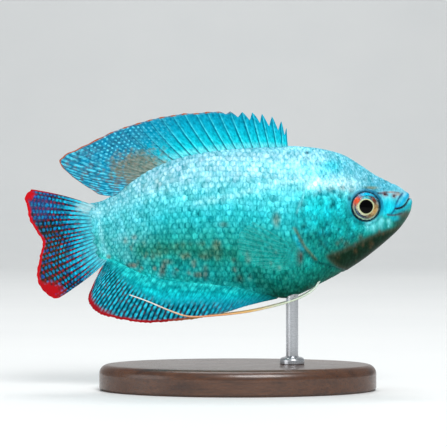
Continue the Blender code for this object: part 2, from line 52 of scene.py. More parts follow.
# The body in side and top view: s, back line h, belly line h, half width
STATIONS = (
    (0.0, 23.8, 23.6, 0.1), (0.3, 24.75, 21.9, 0.85), (1.1, 25.5, 20.3, 1.45),
    (2.6, 26.6, 18.3, 2.05), (4.6, 27.7, 16.4, 2.7), (7.2, 29.0, 14.2, 3.4),
    (10.1, 30.9, 12.0, 4.05), (13.5, 32.9, 9.9, 4.65), (17.5, 34.0, 7.8, 5.1),
    (21.0, 34.45, 5.95, 5.3), (24.4, 34.6, 4.75, 5.3), (29.0, 34.5, 5.45, 5.1),
    (34.0, 34.25, 6.3, 4.7), (39.5, 33.7, 6.9, 4.15), (45.5, 32.55, 7.45, 3.4),
    (50.5, 30.7, 8.2, 2.65), (54.5, 28.3, 9.8, 2.0), (57.5, 25.8, 11.3, 1.5),
    (60.0, 24.1, 12.05, 1.15), (62.8, 23.4, 12.6, 0.9), (66.0, 23.2, 12.9, 0.75),
)
BODY_END = STATIONS[-1][0]
HEAD_LENGTH = 24.0
FLANK_POWER = 2.4
RIDGE_POWER = 0.6
TAIL_END = 62.0
TAIL_SLANT = 1.2
COAT_DEPTH = 0.15
UNWRAP_EDGE = 0.02

# Lines of the head in side view, as (s, h)
GILL_EDGE = (
    (20.7, 28.0), (21.1, 25.9), (22.2, 23.4), (22.8, 21.0), (22.6, 18.3), (21.8, 15.6),
    (20.3, 13.4), (17.9, 11.8), (15.0, 11.1), (12.1, 10.1),
)
CHEEK_EDGE = ((16.4, 25.6), (14.4, 24.7), (13.3, 22.8), (12.8, 20.1), (13.0, 17.0), (14.2, 14.6))
MOUTH = ((-0.3, 24.9), (0.75, 24.1), (1.2, 23.4), (1.7, 22.85), (2.4, 22.45), (3.3, 22.25))
MOUTH_CORNER = ((2.3, 21.35), (3.2, 21.1), (4.1, 21.0), (5.0, 21.1))
LIP_GROOVE = ((2.0, 25.2), (2.7, 24.35), (3.1, 23.6), (3.4, 22.7), (3.7, 21.9), (4.2, 21.3))
LIP_NOTCH = (0.45, 24.8)
UPPER_LIP = ((0.3, 25.6), (1.1, 24.75), (1.75, 24.1), (2.4, 23.2), (3.1, 22.7))
LOWER_LIP = ((-0.4, 23.6), (0.7, 22.95), (1.5, 22.35), (2.3, 22.0), (3.2, 21.7))
THROAT_EDGE = (
    (-0.5, 20.0), (1.9, 19.2), (3.4, 18.7), (7.2, 17.6), (12.1, 15.3), (15.0, 14.1), (16.9, 13.3),
    (16.2, 12.1), (14.8, 11.0), (12.6, 9.8),
)
GILL_RUST = ((23.1, 18.5), (22.3, 17.0), (21.6, 15.7), (21.0, 14.7), (19.0, 12.5))
NOSTRILS = ((3.7, 24.75), (5.5, 25.1))
NAPE = ((20.7, 37.0), (20.7, 28.0))

# Raised and sunk lines of the face: line, height, width
FACE_RELIEF = (
    (CHEEK_EDGE, -0.1, 0.28),
    (UPPER_LIP, 0.2, 0.46),
    (LOWER_LIP, 0.2, 0.34),
    (LIP_GROOVE, -0.14, 0.16),
    (MOUTH_CORNER, -0.16, 0.16),
    (MOUTH, -0.45, 0.13),
)

# Eye
EYE_CENTRE = (9.3, 22.65)
EYE_RADIUS = 2.95
EYE_DEPTH = 1.5
EYE_SINK = 0.65
CORNEA_DOME = 0.12
IRIS_RADIUS = 3.0
ORBIT_RADIUS = 3.3

# Marks of the iris: middle and spread in degrees, from the tail side up over the crown
EYE_MARKS = {
    "rear": (2, 26),
    "rear_top": (33, 24),
    "crown": (88, 44),
    "front_top": (136, 20),
    "front_low": (208, 46),
    "low": (290, 74),
    "rear_low": (318, 44),
}

# Colours of the iris by their share of its radius, then arcs over them:
# mark, inner and outer share, colour, strength
IRIS_RINGS = (
    (0.0, (1, 1, 2)), (0.43, (2, 2, 3)), (0.45, (150, 160, 116)), (0.48, (206, 212, 170)),
    (0.52, (176, 172, 130)), (0.56, (70, 66, 50)), (0.62, (20, 22, 26)), (0.7, (40, 52, 62)),
    (0.78, (52, 66, 66)), (0.86, (28, 56, 62)), (0.94, (10, 58, 76)), (1.0, (8, 76, 100)),
)
IRIS_ARCS = (
    ("rear", 0.5, 0.64, (206, 208, 166), 0.95),
    ("rear", 0.8, 0.86, (150, 140, 120), 0.7),
    ("front_low", 0.52, 0.78, (186, 150, 92), 0.95),
    ("rear_low", 0.52, 0.57, (214, 222, 196), 0.9),
    ("rear_low", 0.66, 0.72, (66, 96, 128), 0.7),
    ("low", 0.78, 0.83, (170, 204, 176), 0.9),
    ("crown", 0.52, 0.66, (60, 200, 214), 0.7),
    ("crown", 0.73, 0.88, (6, 190, 232), 1.0),
    ("crown", 0.9, 0.93, (8, 60, 110), 0.7),
    ("front_top", 0.58, 0.76, (104, 36, 10), 1.0),
    ("rear_top", 0.58, 0.86, (222, 84, 46), 1.0),
)

# Scale coat
ROW_STEP = 1.1
SCALE_PITCH = 1.32
SCALE_LENGTH = 2.05
SCALE_HEIGHT = 1.6
FACE_SHRINK = 0.4
TAIL_SHRINK = 0.64
PLATE_THICKNESS = 0.05
PLATE_TILT = 0.07
PLATE_CURVE = 0.03
PLATE_PATCH = (0.0015, 0.003)
ROOT_SINK = 0.25
SITE_SPREAD = 0.04
LEAN_SPREAD = 0.008
TONE_SPREAD = 0.08
FIRST_SCALE_S = 3.5
LAST_SCALE_S = 61.4
ROWS_ABOVE = 24
COAT_BREAKS = {"face": (0.0, 20.0), "front": (20.0, 38.0), "rear": (38.0, BODY_END)}

# Fins: guide rays as root s and tip (s, h)
DORSAL_GUIDES = (
    (24.2, 24.5, 38.1), (25.2, 25.5, 39.4), (26.3, 27.3, 40.3), (27.7, 29.3, 40.9),
    (29.3, 31.2, 41.15), (32.4, 35.5, 41.3), (35.7, 40.0, 41.25), (39.2, 44.5, 40.9),
    (42.7, 49.0, 40.2), (46.2, 53.6, 39.1), (49.3, 58.9, 37.2), (51.9, 64.7, 34.4),
    (54.2, 69.0, 31.8), (56.3, 66.5, 28.7), (57.9, 61.4, 25.2),
)
ANAL_GUIDES = (
    (25.4, 26.4, 4.7), (29.3, 31.7, 3.45), (33.3, 36.7, 1.9), (38.2, 41.9, 0.8), (43.3, 47.2, 0.15),
    (48.2, 52.5, 0.0), (51.9, 57.5, 0.7), (54.8, 61.4, 1.9), (57.1, 63.2, 4.3), (58.3, 62.5, 6.8),
    (59.2, 60.9, 10.0),
)
FAN_LINE = (
    (63.4, 27.0), (62.3, 23.5), (61.9, 20.6), (61.4, 17.5), (60.8, 14.6), (60.0, 12.0), (58.6, 8.5),
)
CAUDAL_ROOT_TOP = 23.2
CAUDAL_ROOT_BOTTOM = 12.2
CAUDAL_MIDDLE_H = 17.7
CAUDAL_TIPS = (
    (74.4, 26.1), (75.6, 24.9), (75.3, 22.3), (74.7, 20.3), (73.8, 18.3), (72.6, 16.5),
    (72.2, 15.1), (72.5, 13.4), (73.1, 11.6), (73.3, 9.5), (72.7, 7.2), (71.2, 5.3), (69.4, 4.7),
    (67.9, 5.6),
)
PECTORAL_ROOT = ((22.3, 14.3), (22.5, 11.2))
PECTORAL_TIPS = (
    (31.2, 19.9), (33.6, 18.0), (34.4, 15.8), (33.6, 13.6), (31.6, 11.9), (28.9, 10.7),
    (26.3, 10.3),
)
PECTORAL_LIFT = 3.1
DORSAL_SPINES = 16
DORSAL_RAYS = 25
ANAL_SPINES = 16
ANAL_RAYS = 54
CAUDAL_RAYS = 21
PECTORAL_RAYS = 11
ROOT_DEPTH = 0.7
CAUDAL_ROOT_DEPTH = 1.6
TOOTH_DEPTH = 0.44
RAY_RAGGED = 0.007
CREST_WIDTH = 0.15
FORK_SPREAD = 0.2
FILLET_REACH = 1.9

# Pelvic feelers: s, h and the distance from the fish's middle plane
FEELER_PATH = (
    (17.6, 9.4, 0.9), (18.2, 8.2, 1.2), (19.0, 6.9, 1.6), (20.6, 5.7, 1.95), (23.2, 4.5, 2.2),
    (27.0, 3.4, 2.3), (32.0, 2.3, 2.25), (38.0, 1.6, 2.1), (43.3, 1.35, 1.9), (47.2, 2.5, 1.9),
    (51.2, 4.2, 2.1), (55.0, 5.6, 2.4),
)
FEELER_ROOT_RADIUS = 0.34
FEELER_RADIUS = 0.19
FEELER_TIP_RADIUS = 0.1

# Stand
BASE_LENGTH = 54.0
BASE_WIDTH = 34.0
BASE_HEIGHT = 5.0
BASE_MIDDLE_S = 34.0
ROD_RADIUS = 1.2
ROD_S = 23.4
ROD_TOP_H = 7.4
COLLAR_RADIUS = 2.4

# Camera and frame: one photo pixel is 0.195 mm at the fish's middle plane
PHOTO_PIXELS = 447
MM_PER_PIXEL = 0.195
LENS = 150.0
SENSOR = 36.0
VIEW_X = 1.07
VIEW_Z = 32.4


# Helpers for shape


def smooth(value, start, end):
    """0 before start, 1 after end and an even curve between; start may be the larger."""
    share = np.clip((value - start) / (end - start), 0, 1)
    return share * share * (3 - 2 * share)


def curve_through(points, per_span):
    """Points along a smooth curve that passes through every given row."""
    rows = np.array(points, float)
    before = 2 * rows[0] - rows[1]
    after = 2 * rows[-1] - rows[-2]
    rows = np.vstack([before, rows, after])
    out = []
    for i in range(1, len(rows) - 2):
        a, b, c, d = rows[i - 1 : i + 3]
        for k in range(per_span):
            t = k / per_span
            bend = (2 * a - 5 * b + 4 * c - d) * t**2 + (3 * b - a - 3 * c + d) * t**3
            out.append(0.5 * (2 * b + (c - a) * t + bend))
    out.append(rows[-2])
    return np.array(out)


def rows_at(points, places):
    """The same curve read at places counted in rows, from 0 to len(points) - 1."""
    per_span = 16
    fine = curve_through(points, per_span)
    steps = np.arange(len(fine)) / per_span
    return np.column_stack([np.interp(places, steps, c) for c in fine.T])


PROFILE = curve_through(STATIONS, 24)


def back_h(s):
    return np.interp(s, PROFILE[:, 0], PROFILE[:, 1])


def belly_h(s):
    return np.interp(s, PROFILE[:, 0], PROFILE[:, 2])


def half_width(s):
    """Half the body's width, which narrows once more into the tail fin's root."""
    return np.interp(s, PROFILE[:, 0], PROFILE[:, 3]) * (1 - 0.6 * smooth(s, 57.0, 62.5))


def flank_y(s, h):
    """How far the body's side stands from the middle plane at a point in side view."""
    level = (belly_h(s) + back_h(s)) / 2
    share = np.clip(np.abs(h - level) / (back_h(s) - level), 0, 1)
    return half_width(s) * (1 - share**FLANK_POWER) ** RIDGE_POWER


def surface(s, turn):
    """Points of the plain body, turn being 0 on the back and half a turn on the belly."""
    top, bottom = back_h(s), belly_h(s)
    level = (top + bottom) / 2
    across = np.clip(1 - np.abs(np.cos(turn)) ** FLANK_POWER, 0, 1) ** RIDGE_POWER
    y = half_width(s) * across * np.sign(np.sin(turn))
    return np.stack([s, y, level + (top - level) * np.cos(turn)], -1)


def line_distance(line, s, h):
    """Distance to a line, positive on its left when h points up and s to the right."""
    line = curve_through(line, 4)
    best = np.full(np.shape(s), 1e9)
    sign = np.ones(np.shape(s))
    for a, b in zip(line, line[1:]):
        step = b - a
        share = ((s - a[0]) * step[0] + (h - a[1]) * step[1]) / (step @ step)
        share = np.clip(share, 0, 1)
        ds, dh = s - a[0] - share * step[0], h - a[1] - share * step[1]
        gap = np.hypot(ds, dh)
        nearer = gap < best
        best = np.where(nearer, gap, best)
        sign = np.where(nearer, np.sign(step[0] * dh - step[1] * ds), sign)
    return best * np.where(sign == 0, 1, sign)


def fan_root(h):
    """Where the tail fin's root crosses a height."""
    line = curve_through(FAN_LINE, 6)[::-1]
    return np.interp(h, line[:, 1], line[:, 0])


def bump(distance, width):
    return np.exp(-((distance / width) ** 2))


def away_from(place, s, h):
    return np.hypot(s - place[0], h - place[1])


def even_turns(count):
    """Even turns once round, in radians."""
    return 2 * math.pi * np.arange(count) / count


def quarter(steps):
    """Sine and cosine of even turns through a right angle."""
    turns = [k / steps * math.pi / 2 for k in range(steps + 1)]
    return [(math.sin(turn), math.cos(turn)) for turn in turns]


def on_side(turn, side):
    """A turn on the left side, or its mirror image on the right."""
    return turn if side > 0 else 2 * math.pi - turn


def relief(s, h):
    """How far the skin stands out from the plain body, in millimetres."""
    cover = -line_distance(GILL_EDGE, s, h)
    low = smooth(h, 28.0, 25.0) * smooth(s, 11.5, 15.5)
    out = 0.3 * low * bump(np.maximum(cover, 0), 4.5) * smooth(cover, -0.12, 0.04)
    out = out - 0.08 * low * bump(cover + 0.25, 0.25)
    for line, height, width in FACE_RELIEF:
        out = out + height * bump(line_distance(line, s, h), width)
    out = out - 0.3 * bump(away_from(LIP_NOTCH, s, h), 0.45)
    gap = away_from(EYE_CENTRE, s, h)
    out = out + 0.2 * bump(gap - ORBIT_RADIUS, 0.26) - 1.5 * smooth(gap, EYE_RADIUS, 2.4)
    out = out - 0.12 * bump(gap - ORBIT_RADIUS - 0.45, 0.25)
    for place in NOSTRILS:
        away = away_from(place, s, h)
        out = out + 0.07 * bump(away - 0.36, 0.12) - 0.4 * bump(away, 0.19)
    return np.where(out > 0, out * (0.1 + 0.9 * smooth(s, 0.0, 1.3)), out)


def scaled_share(s, h):
    """1 where scales grow and 0 on the bare snout, lips, throat edge and round the eye."""
    grown = smooth(s + 0.55 * (h - 22), 6.0, 7.0)
    grown = grown * smooth(away_from(EYE_CENTRE, s, h), ORBIT_RADIUS, ORBIT_RADIUS + 0.15)
    for place in NOSTRILS:
        grown = grown * smooth(away_from(place, s, h), 0.6, 0.9)
    return grown * smooth(line_distance(THROAT_EDGE, s, h), 0.1, 0.5)


def dressed(s, turn, lift):
    """Points of the skin at a lift, with its relief, and the body's own outward normals."""
    step = 0.015
    point = surface(s, turn)
    along = surface(s + step, turn) - surface(s - step, turn)
    around = surface(s, turn + step) - surface(s, turn - step)
    normal = np.cross(along, around)
    normal /= np.maximum(np.linalg.norm(normal, axis=-1), 1e-9)[..., None]
    level = (back_h(s) + belly_h(s)) / 2
    out = normal[..., 1] * point[..., 1] + normal[..., 2] * (point[..., 2] - level)
    normal = np.where((out < 0)[..., None], -normal, normal)
    rise = lift + relief(point[..., 0], point[..., 2])
    return point + normal * rise[..., None], normal


# Helpers for objects


def to_world(points):
    points = np.asarray(points, float)
    out = np.empty_like(points)
    out[..., 0] = TOTAL_LENGTH / 2 - points[..., 0]
    out[..., 1] = points[..., 1]
    out[..., 2] = points[..., 2] + FIN_CLEARANCE
    return out * MM


def add_object(name, data):
    obj = bpy.data.objects.new(name, data)
    bpy.context.scene.collection.objects.link(obj)
    return obj


def new_piece(name, points, faces, finish, sharp=50.0):
    """A mesh object in the model's frame, shaded smooth but for edges sharper than an angle."""
    mesh = bpy.data.meshes.new(name)
    mesh.from_pydata(to_world(points).reshape(-1, 3).tolist(), [], faces)
    mesh.update()
    mesh.materials.append(finish)
    mesh.shade_smooth()
    if sharp:
        mesh.set_sharp_from_angle(angle=math.radians(sharp))
    return add_object(name, mesh)


def set_number(obj, name, values):
    made = obj.data.attributes.new(name, "FLOAT", "POINT")
    made.data.foreach_set("value", np.asarray(values, np.float32).ravel())


def set_colour(obj, name, values):
    made = obj.data.attributes.new(name, "FLOAT_COLOR", "POINT")
    rgba = np.ones((len(obj.data.vertices), 4), np.float32)
    rgba[:, :3] = np.asarray(values).reshape(-1, 3)
    made.data.foreach_set("color", rgba.ravel())


def set_uv(obj, name, places):
    """A UV map from one place for each vertex."""
    made = obj.data.uv_layers.new(name=name)
    corners = np.empty(len(obj.data.loops), np.int32)
    obj.data.loops.foreach_get("vertex_index", corners)
    made.data.foreach_set("uv", np.asarray(places, np.float32).reshape(-1, 2)[corners].ravel())


def grid_faces(rows, columns, closed=False, start=0, flip=False):
    """Quads of a grid of points, row by row; closed joins each row's last point to its first."""
    faces = []
    for i in range(rows - 1):
        for k in range(columns if closed else columns - 1):
            n = (k + 1) % columns
            a, b = start + i * columns, start + (i + 1) * columns
            quad = (a + k, a + n, b + n, b + k)
            faces.append(quad[::-1] if flip else quad)
    return faces


def plate_faces(rows, columns):
    """A closed plate's quads: two grids of points back to back, and a strip round their rim."""
    count = rows * columns
    faces = grid_faces(rows, columns) + grid_faces(rows, columns, start=count, flip=True)
    border = list(range(columns))
    border += [i * columns + columns - 1 for i in range(1, rows)]
    border += [(rows - 1) * columns + k for k in range(columns - 2, -1, -1)]
    border += [i * columns for i in range(rows - 2, 0, -1)]
    return faces + [(n, k, k + count, n + count) for k, n in zip(border, border[1:] + border[:1])]


def pole_faces(rings, around):
    """Triangles from a closed grid's two end rings to a pole each, the points that follow it."""
    last, pole = (rings - 1) * around, rings * around
    faces = []
    for k in range(around):
        n = (k + 1) % around
        faces.append((n, k, pole))
        faces.append((last + k, last + n, pole + 1))
    return faces


def tube_faces(rings, around):
    """Quads of a closed grid, with one flat face over each end."""
    last = (rings - 1) * around
    ends = [tuple(range(around))[::-1], tuple(range(last, last + around))]
    return grid_faces(rings, around, closed=True) + ends


def belongs(obj, slot, *nodes):
    """Sets a piece on the model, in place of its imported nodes."""
    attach(obj, "root")
    if nodes:
        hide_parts(*nodes)
    return obj


# Helpers for materials


def srgb(red, green, blue):
    """A colour from screen values of 0 to 255 to the linear light that shaders use."""
    share = np.array((red, green, blue)) / 255
    return np.where(share <= 0.04045, share / 12.92, ((share + 0.055) / 1.055) ** 2.4)


class Shader:
    """A material with short calls for the nodes that this scene needs."""

    def __init__(self, name, **values):
        self.material = bpy.data.materials.new(name)
        self.material.use_nodes = True
        self.tree = self.material.node_tree
        self.surface = self.tree.nodes["Principled BSDF"]
        for socket, value in values.items():
            self.surface.inputs[socket.replace("_", " ")].default_value = value

    def add(self, kind, inputs=None, **settings):
        """A node with settings, and with a link or a constant at each input named."""
        node = self.tree.nodes.new(kind)
        for key, value in settings.items():
            setattr(node, key, value)
        for key, value in (inputs or {}).items():
            socket = node.inputs[key]
            if isinstance(value, bpy.types.NodeSocket):
                self.tree.links.new(value, socket)
            elif socket.type == "RGBA":
                socket.default_value = (*value, 1.0)
            else:
                socket.default_value = value
        return node

    def number(self, name):
        return self.add("ShaderNodeAttribute", attribute_name=name).outputs["Fac"]

    def colour(self, name):
        return self.add("ShaderNodeAttribute", attribute_name=name).outputs["Color"]

    def place(self):
        return self.add("ShaderNodeTexCoord").outputs["Object"]

    def math(self, operation, first, second=0.0):
        node = self.add("ShaderNodeMath", {0: first, 1: second}, operation=operation)
        return node.outputs[0]

    def times(self, first, second):
        return self.math("MULTIPLY", first, second)

    def plus(self, first, second):
        return self.math("ADD", first, second)

    def less(self, first, second):
        return self.math("SUBTRACT", first, second)

    def over(self, first, second):
        return self.math("DIVIDE", first, second)

    def hypot(self, first, second):
        """The distance whose two parts are given."""
        parts = [self.math("POWER", self.math("ABSOLUTE", part), 2.0) for part in (first, second)]
        return self.math("SQRT", self.plus(*parts))

    def mix(self, factor, first, second, blend="MIX"):
        """A mix of two colours, which are the node's sockets 6 and 7 and come out at 2."""
        inputs = {0: factor, 6: first, 7: second}
        node = self.add("ShaderNodeMix", inputs, data_type="RGBA", blend_type=blend)
        return node.outputs[2]

    def rise(self, value, start, end, top=1.0):
        """A share that is 0 up to start, and top from end on."""
        return self.ramp(value, ((start, 0.0), (end, top)))

    def fall(self, value, start, end, top=1.0):
        """A share that is top up to start, and 0 from end on."""
        return self.ramp(value, ((start, top), (end, 0.0)))

    def ramp(self, value, stops):
        """A colour or grey ramp from (place, colour or number) stops."""
        node = self.add("ShaderNodeValToRGB", {"Fac": value})
        points = node.color_ramp.elements
        while len(points) < len(stops):
            points.new(0.5)
        for point, (place, tint) in zip(points, stops):
            point.position = place
            tint = (tint, tint, tint) if np.isscalar(tint) else tint
            point.color = (*tint, 1.0)
        return node.outputs["Color"]

    def noise(self, scale, vector=None, detail=3.0, roughness=0.55, luck=0.0):
        inputs = {"Scale": scale, "Detail": detail, "Roughness": roughness, "W": luck}
        inputs["Vector"] = self.place() if vector is None else vector
        return self.add("ShaderNodeTexNoise", inputs, noise_dimensions="4D").outputs["Fac"]

    def waver(self, scale, size, **settings):
        """Noise about 0, of a size."""
        return self.times(self.less(self.noise(scale, **settings), 0.5), size)

    def stretched(self, vector, scale):
        return self.add("ShaderNodeMapping", {"Vector": vector, "Scale": scale}).outputs[0]

    def set(self, socket, value):
        self.tree.links.new(value, self.surface.inputs[socket])

    def set_bump(self, height, strength, distance):
        inputs = {"Height": height, "Strength": strength, "Distance": distance * MM}
        self.set("Normal", self.add("ShaderNodeBump", inputs).outputs["Normal"])

    def finish(self, colour, height, stops, strength, distance):
        """Sets the colour, and roughness and a fine relief that follow the same height."""
        self.set("Base Color", colour)
        self.set("Roughness", self.ramp(height, stops))
        self.set_bump(height, strength, distance)
        return self.material


# Colours of the fish, as they look on screen

# Colours by the share of the way up from the belly line to the back line: the fish's own colours,
# with painted light from above making the back paler and painted shade making the belly darker
BELLY_TO_BACK = (
    (0.0, (10, 84, 64)), (0.1, (8, 124, 110)), (0.22, (12, 158, 148)), (0.38, (28, 160, 156)),
    (0.54, (44, 196, 206)), (0.68, (92, 214, 226)), (0.8, (132, 202, 216)), (0.93, (138, 197, 213)),
    (1.0, (116, 196, 214)),
)

# Soft round areas: centre (s, h), reach (s, h), colour, strength
BLOTS = (
    ((58.0, 18.0), (7.0, 12.0), (96, 196, 208), 0.6),
    ((46.5, 9.4), (12.5, 2.9), (14, 166, 166), 0.9),
    ((11.5, 30.2), (7.5, 3.6), (100, 196, 216), 0.8),
    ((5.5, 26.6), (4.0, 1.6), (78, 178, 202), 0.9),
    ((17.9, 22.0), (4.6, 4.4), (8, 206, 216), 0.85),
    ((17.4, 16.2), (4.4, 3.2), (10, 128, 120), 0.85),
    ((12.0, 18.6), (5.4, 3.2), (4, 152, 150), 0.85),
    ((7.6, 18.7), (2.6, 1.3), (40, 190, 196), 0.8),
    ((4.8, 22.6), (1.8, 1.7), (18, 208, 232), 0.95),
)

# Small marks, in the same terms
SPOTS = (
    ((1.4, 20.8), (1.6, 1.3), (84, 72, 62), 0.95),
    ((2.4, 19.7), (1.5, 1.1), (66, 66, 54), 0.95),
    ((3.6, 20.4), (1.0, 0.6), (10, 176, 196), 0.85),
    ((2.9, 25.1), (0.7, 0.35), (168, 150, 136), 0.75),
    ((4.3, 25.5), (0.6, 0.22), (196, 190, 180), 0.6),
    ((15.8, 30.6), (2.0, 1.3), (44, 188, 206), 0.8),
    ((15.5, 27.3), (0.8, 0.3), (20, 140, 160), 0.8),
    ((8.3, 26.35), (1.5, 0.34), (112, 124, 92), 0.85),
    ((18.2, 25.2), (1.6, 0.5), (30, 170, 190), 0.5),
    ((22.1, 13.0), (0.7, 1.6), (84, 44, 40), 0.85),
    ((26.6, 20.2), (0.8, 1.4), (140, 106, 58), 0.5),
    ((36.9, 19.2), (0.9, 0.6), (70, 78, 60), 0.65),
    ((38.4, 13.9), (1.3, 0.9), (122, 82, 48), 0.75),
    ((41.7, 9.4), (1.0, 0.6), (112, 74, 44), 0.7),
    ((44.4, 13.3), (1.1, 0.7), (112, 84, 56), 0.65),
    ((47.6, 12.0), (0.9, 0.6), (104, 84, 60), 0.6),
    ((54.4, 11.2), (0.9, 0.6), (120, 66, 44), 0.75),
    ((59.2, 12.9), (0.5, 0.5), (96, 70, 50), 0.8),
    ((20.6, 33.2), (0.35, 0.35), (10, 60, 90), 0.95),
    ((12.5, 24.2), (0.35, 0.6), (6, 56, 70), 0.9),
    ((14.0, 26.4), (0.5, 0.35), (10, 80, 92), 0.85),
    ((14.8, 18.3), (0.45, 0.4), (4, 50, 62), 0.9),
    ((21.2, 18.8), (0.45, 0.5), (14, 80, 74), 0.8),
    ((21.6, 22.4), (0.4, 1.1), (26, 120, 116), 0.7),
    ((9.0, 19.2), (0.5, 0.4), (8, 110, 108), 0.6),
)

# Soft lines: line, width, colour, strength
STROKES = (
    (((19.9, 26.8), (16.0, 27.2), (12.2, 26.8)), 1.3, (206, 244, 250), 0.55),
    (((21.6, 28.2), (27.0, 26.9), (33.5, 25.2), (42.0, 23.4)), 0.75, (190, 240, 246), 0.28),
    (((6.8, 25.4), (4.3, 25.5), (2.7, 25.4)), 0.14, (116, 78, 74), 0.7),
    (GILL_RUST, 0.28, (104, 92, 40), 0.65),
    (((23.1, 16.9), (22.4, 15.6), (21.6, 14.4)), 0.4, (22, 174, 206), 0.5),
    (((7.0, 25.2), (6.2, 25.25), (5.0, 24.9)), 0.18, (14, 52, 74), 0.85),
    (((35.0, 13.5), (42.0, 14.2), (48.0, 14.6), (53.0, 14.2)), 1.6, (16, 118, 98), 0.8),
    (((61.3, 23.0), (60.9, 19.0), (60.2, 15.5), (59.3, 13.0)), 0.4, (160, 216, 222), 0.25),
    (((20.9, 27.0), (21.5, 24.5), (22.7, 21.5)), 0.2, (150, 230, 236), 0.35),
    (((18.3, 16.2), (17.0, 14.6), (16.0, 13.9)), 0.25, (20, 84, 74), 0.6),
    (MOUTH_CORNER, 0.19, (74, 34, 56), 0.85),
    (LIP_GROOVE, 0.22, (6, 60, 112), 0.9),
    (UPPER_LIP, 0.5, (10, 168, 212), 0.95),
    (LOWER_LIP, 0.4, (28, 166, 184), 0.95),
    # The mouth's slit is dark maroon: partly the mouth's own inside, partly painted shade in the
    # slit
    (MOUTH, 0.2, (60, 18, 44), 1.0),
)
THROAT_BROWN = (58, 42, 10)
THROAT_OLIVE = (2, 34, 8)
CLOUD_STRENGTH = (0.3, 0.12, 0.14)
# Fine flecks: two corners of their field in (s, h), how many, and their colour
FLECK_FIELDS = (
    ((11.5, 14.5), (22.5, 26.5), 90, (6, 92, 100)),
    ((11.5, 17.0), (22.0, 26.0), 36, (40, 226, 232)),
    ((12.0, 27.0), (20.0, 32.0), 26, (50, 180, 200)),
    ((4.0, 12.0), (16.0, 18.0), 26, (80, 56, 28)),
    ((4.6, 18.6), (9.2, 20.8), 22, (130, 240, 246)),
    ((26.0, 8.4), (57.0, 17.0), 34, (128, 74, 44)),
    ((37.0, 12.8), (53.0, 15.6), 50, (100, 80, 36)),
    ((40.0, 8.6), (58.0, 12.0), 14, (104, 44, 32)),
    ((44.0, 24.0), (58.0, 30.0), 14, (120, 170, 170)),
)


def laid(colour, share, tint):
    """A colour with a tint laid over it, by a share of 0 to 1."""
    return colour + (srgb(*tint) - colour) * np.clip(share, 0, 1)[..., None]


def spotted(colour, spots, s, h):
    """A colour with soft round areas laid over it."""
    for centre, reach, tint, strength in spots:
        away = np.hypot((s - centre[0]) / reach[0], (h - centre[1]) / reach[1])
        colour = laid(colour, strength * bump(away**1.5, 1.0), tint)
    return colour


def flecked_areas(colour, s, h):
    """A colour with small flecks strewn over each of their fields."""
    dice = np.random.default_rng(5)
    for low, high, count, tint in FLECK_FIELDS:
        for _ in range(count):
            place = dice.uniform(low, high)
            reach = dice.uniform(0.18, 0.55)
            share = bump(np.hypot(s - place[0], (h - place[1]) * 0.7), reach)
            colour = laid(colour, share * dice.uniform(0.25, 0.7), tint)
    return colour


def clouds(s, h):
    """Uneven patches a few millimetres across, with a mean of 0 and a spread of 1."""
    dice = np.random.default_rng(8)
    waves, total = 36, 0.0
    for _ in range(waves):
        heading, start = dice.uniform(0, 2 * math.pi, 2)
        wave = dice.uniform(1.4, 6.5)
        along = s * math.cos(heading) * 1.3 + h * math.sin(heading)
        total = total + np.sin(2 * math.pi * along / wave + start)
    return total / math.sqrt(waves / 2)


def throat(colour, s, h):
    """The bare throat, brown at its edge and olive below."""
    below = -line_distance(THROAT_EDGE, s, h)
    bare = smooth(s, 1.0, 3.0)
    colour = laid(colour, 0.5 * smooth(below, -2.6, -0.2), (6, 98, 84))
    colour = laid(colour, 0.85 * bare * smooth(below, -0.6, 0.5), THROAT_BROWN)
    return laid(colour, 0.95 * bare * smooth(below, 0.2, 1.2), THROAT_OLIVE)


def face_lines(colour, s, h):
    """The edges of gill cover and cheek, with painted shade in the groove behind the cover; the
    eye's surround, with painted shade in the gap round the eyeball; the soft lines and the
    nostrils.
    """
    edge = line_distance(GILL_EDGE, s, h)
    low = smooth(h, 27.5, 25.0)
    # Painted shade: a dark line just behind the gill cover's edge, in the groove under the cover
    colour = laid(colour, 0.3 * low * bump(edge - 0.1, 0.25), (8, 84, 100))
    colour = laid(colour, 0.35 * bump(line_distance(CHEEK_EDGE, s, h), 0.3), (8, 96, 104))
    gap = away_from(EYE_CENTRE, s, h)
    halo = bump(gap - 3.15, 0.4) * (0.3 + 0.7 * smooth(h - 0.4 * (s - EYE_CENTRE[0]), 21.8, 24.2))
    colour = laid(colour, 0.85 * halo, (4, 96, 140))
    # Painted shade: the skin inside the orbit, in the gap round the eyeball, is near black
    colour = laid(colour, 0.9 * smooth(gap, 3.05, 2.85), (16, 22, 26))
    for line, width, tint, strength in STROKES:
        colour = laid(colour, strength * bump(line_distance(line, s, h), width), tint)
    for place in NOSTRILS:
        away = away_from(place, s, h)
        colour = laid(colour, 0.75 * bump(away, 0.5), (150, 62, 52))
        colour = laid(colour, 0.9 * bump(away, 0.2), (40, 10, 16))
    return colour


def paint(s, h):
    """The fish's colour at points in side view, the same for skin and scales: its own markings with
    painted light and shade laid in.
    """
    rise = (h - belly_h(s)) / np.maximum(back_h(s) - belly_h(s), 1e-3)
    stops = np.array([place for place, _ in BELLY_TO_BACK])
    tints = np.array([srgb(*tint) for _, tint in BELLY_TO_BACK])
    colour = np.stack([np.interp(rise, stops, tints[:, c]) for c in range(3)], -1)
    colour = spotted(colour, BLOTS, s, h)
    # Painted light: a pale cyan band along the belly line lightens the shade that falls where the
    # body curves under
    belly_painted_light = bump(h - belly_h(s), 1.5) * smooth(s, 26.0, 32.0) * smooth(s, 63.0, 59.0)
    colour = laid(colour, 0.9 * belly_painted_light, (34, 220, 220))
    cloud = clouds(s, h) * (1.2 - rise)
    colour = colour * np.exp(cloud[..., None] * CLOUD_STRENGTH)
    colour = spotted(colour, SPOTS, s, h)
    colour = throat(colour, s, h)
    colour = flecked_areas(colour, s, h)
    return face_lines(colour, s, h)


# Skin and coat


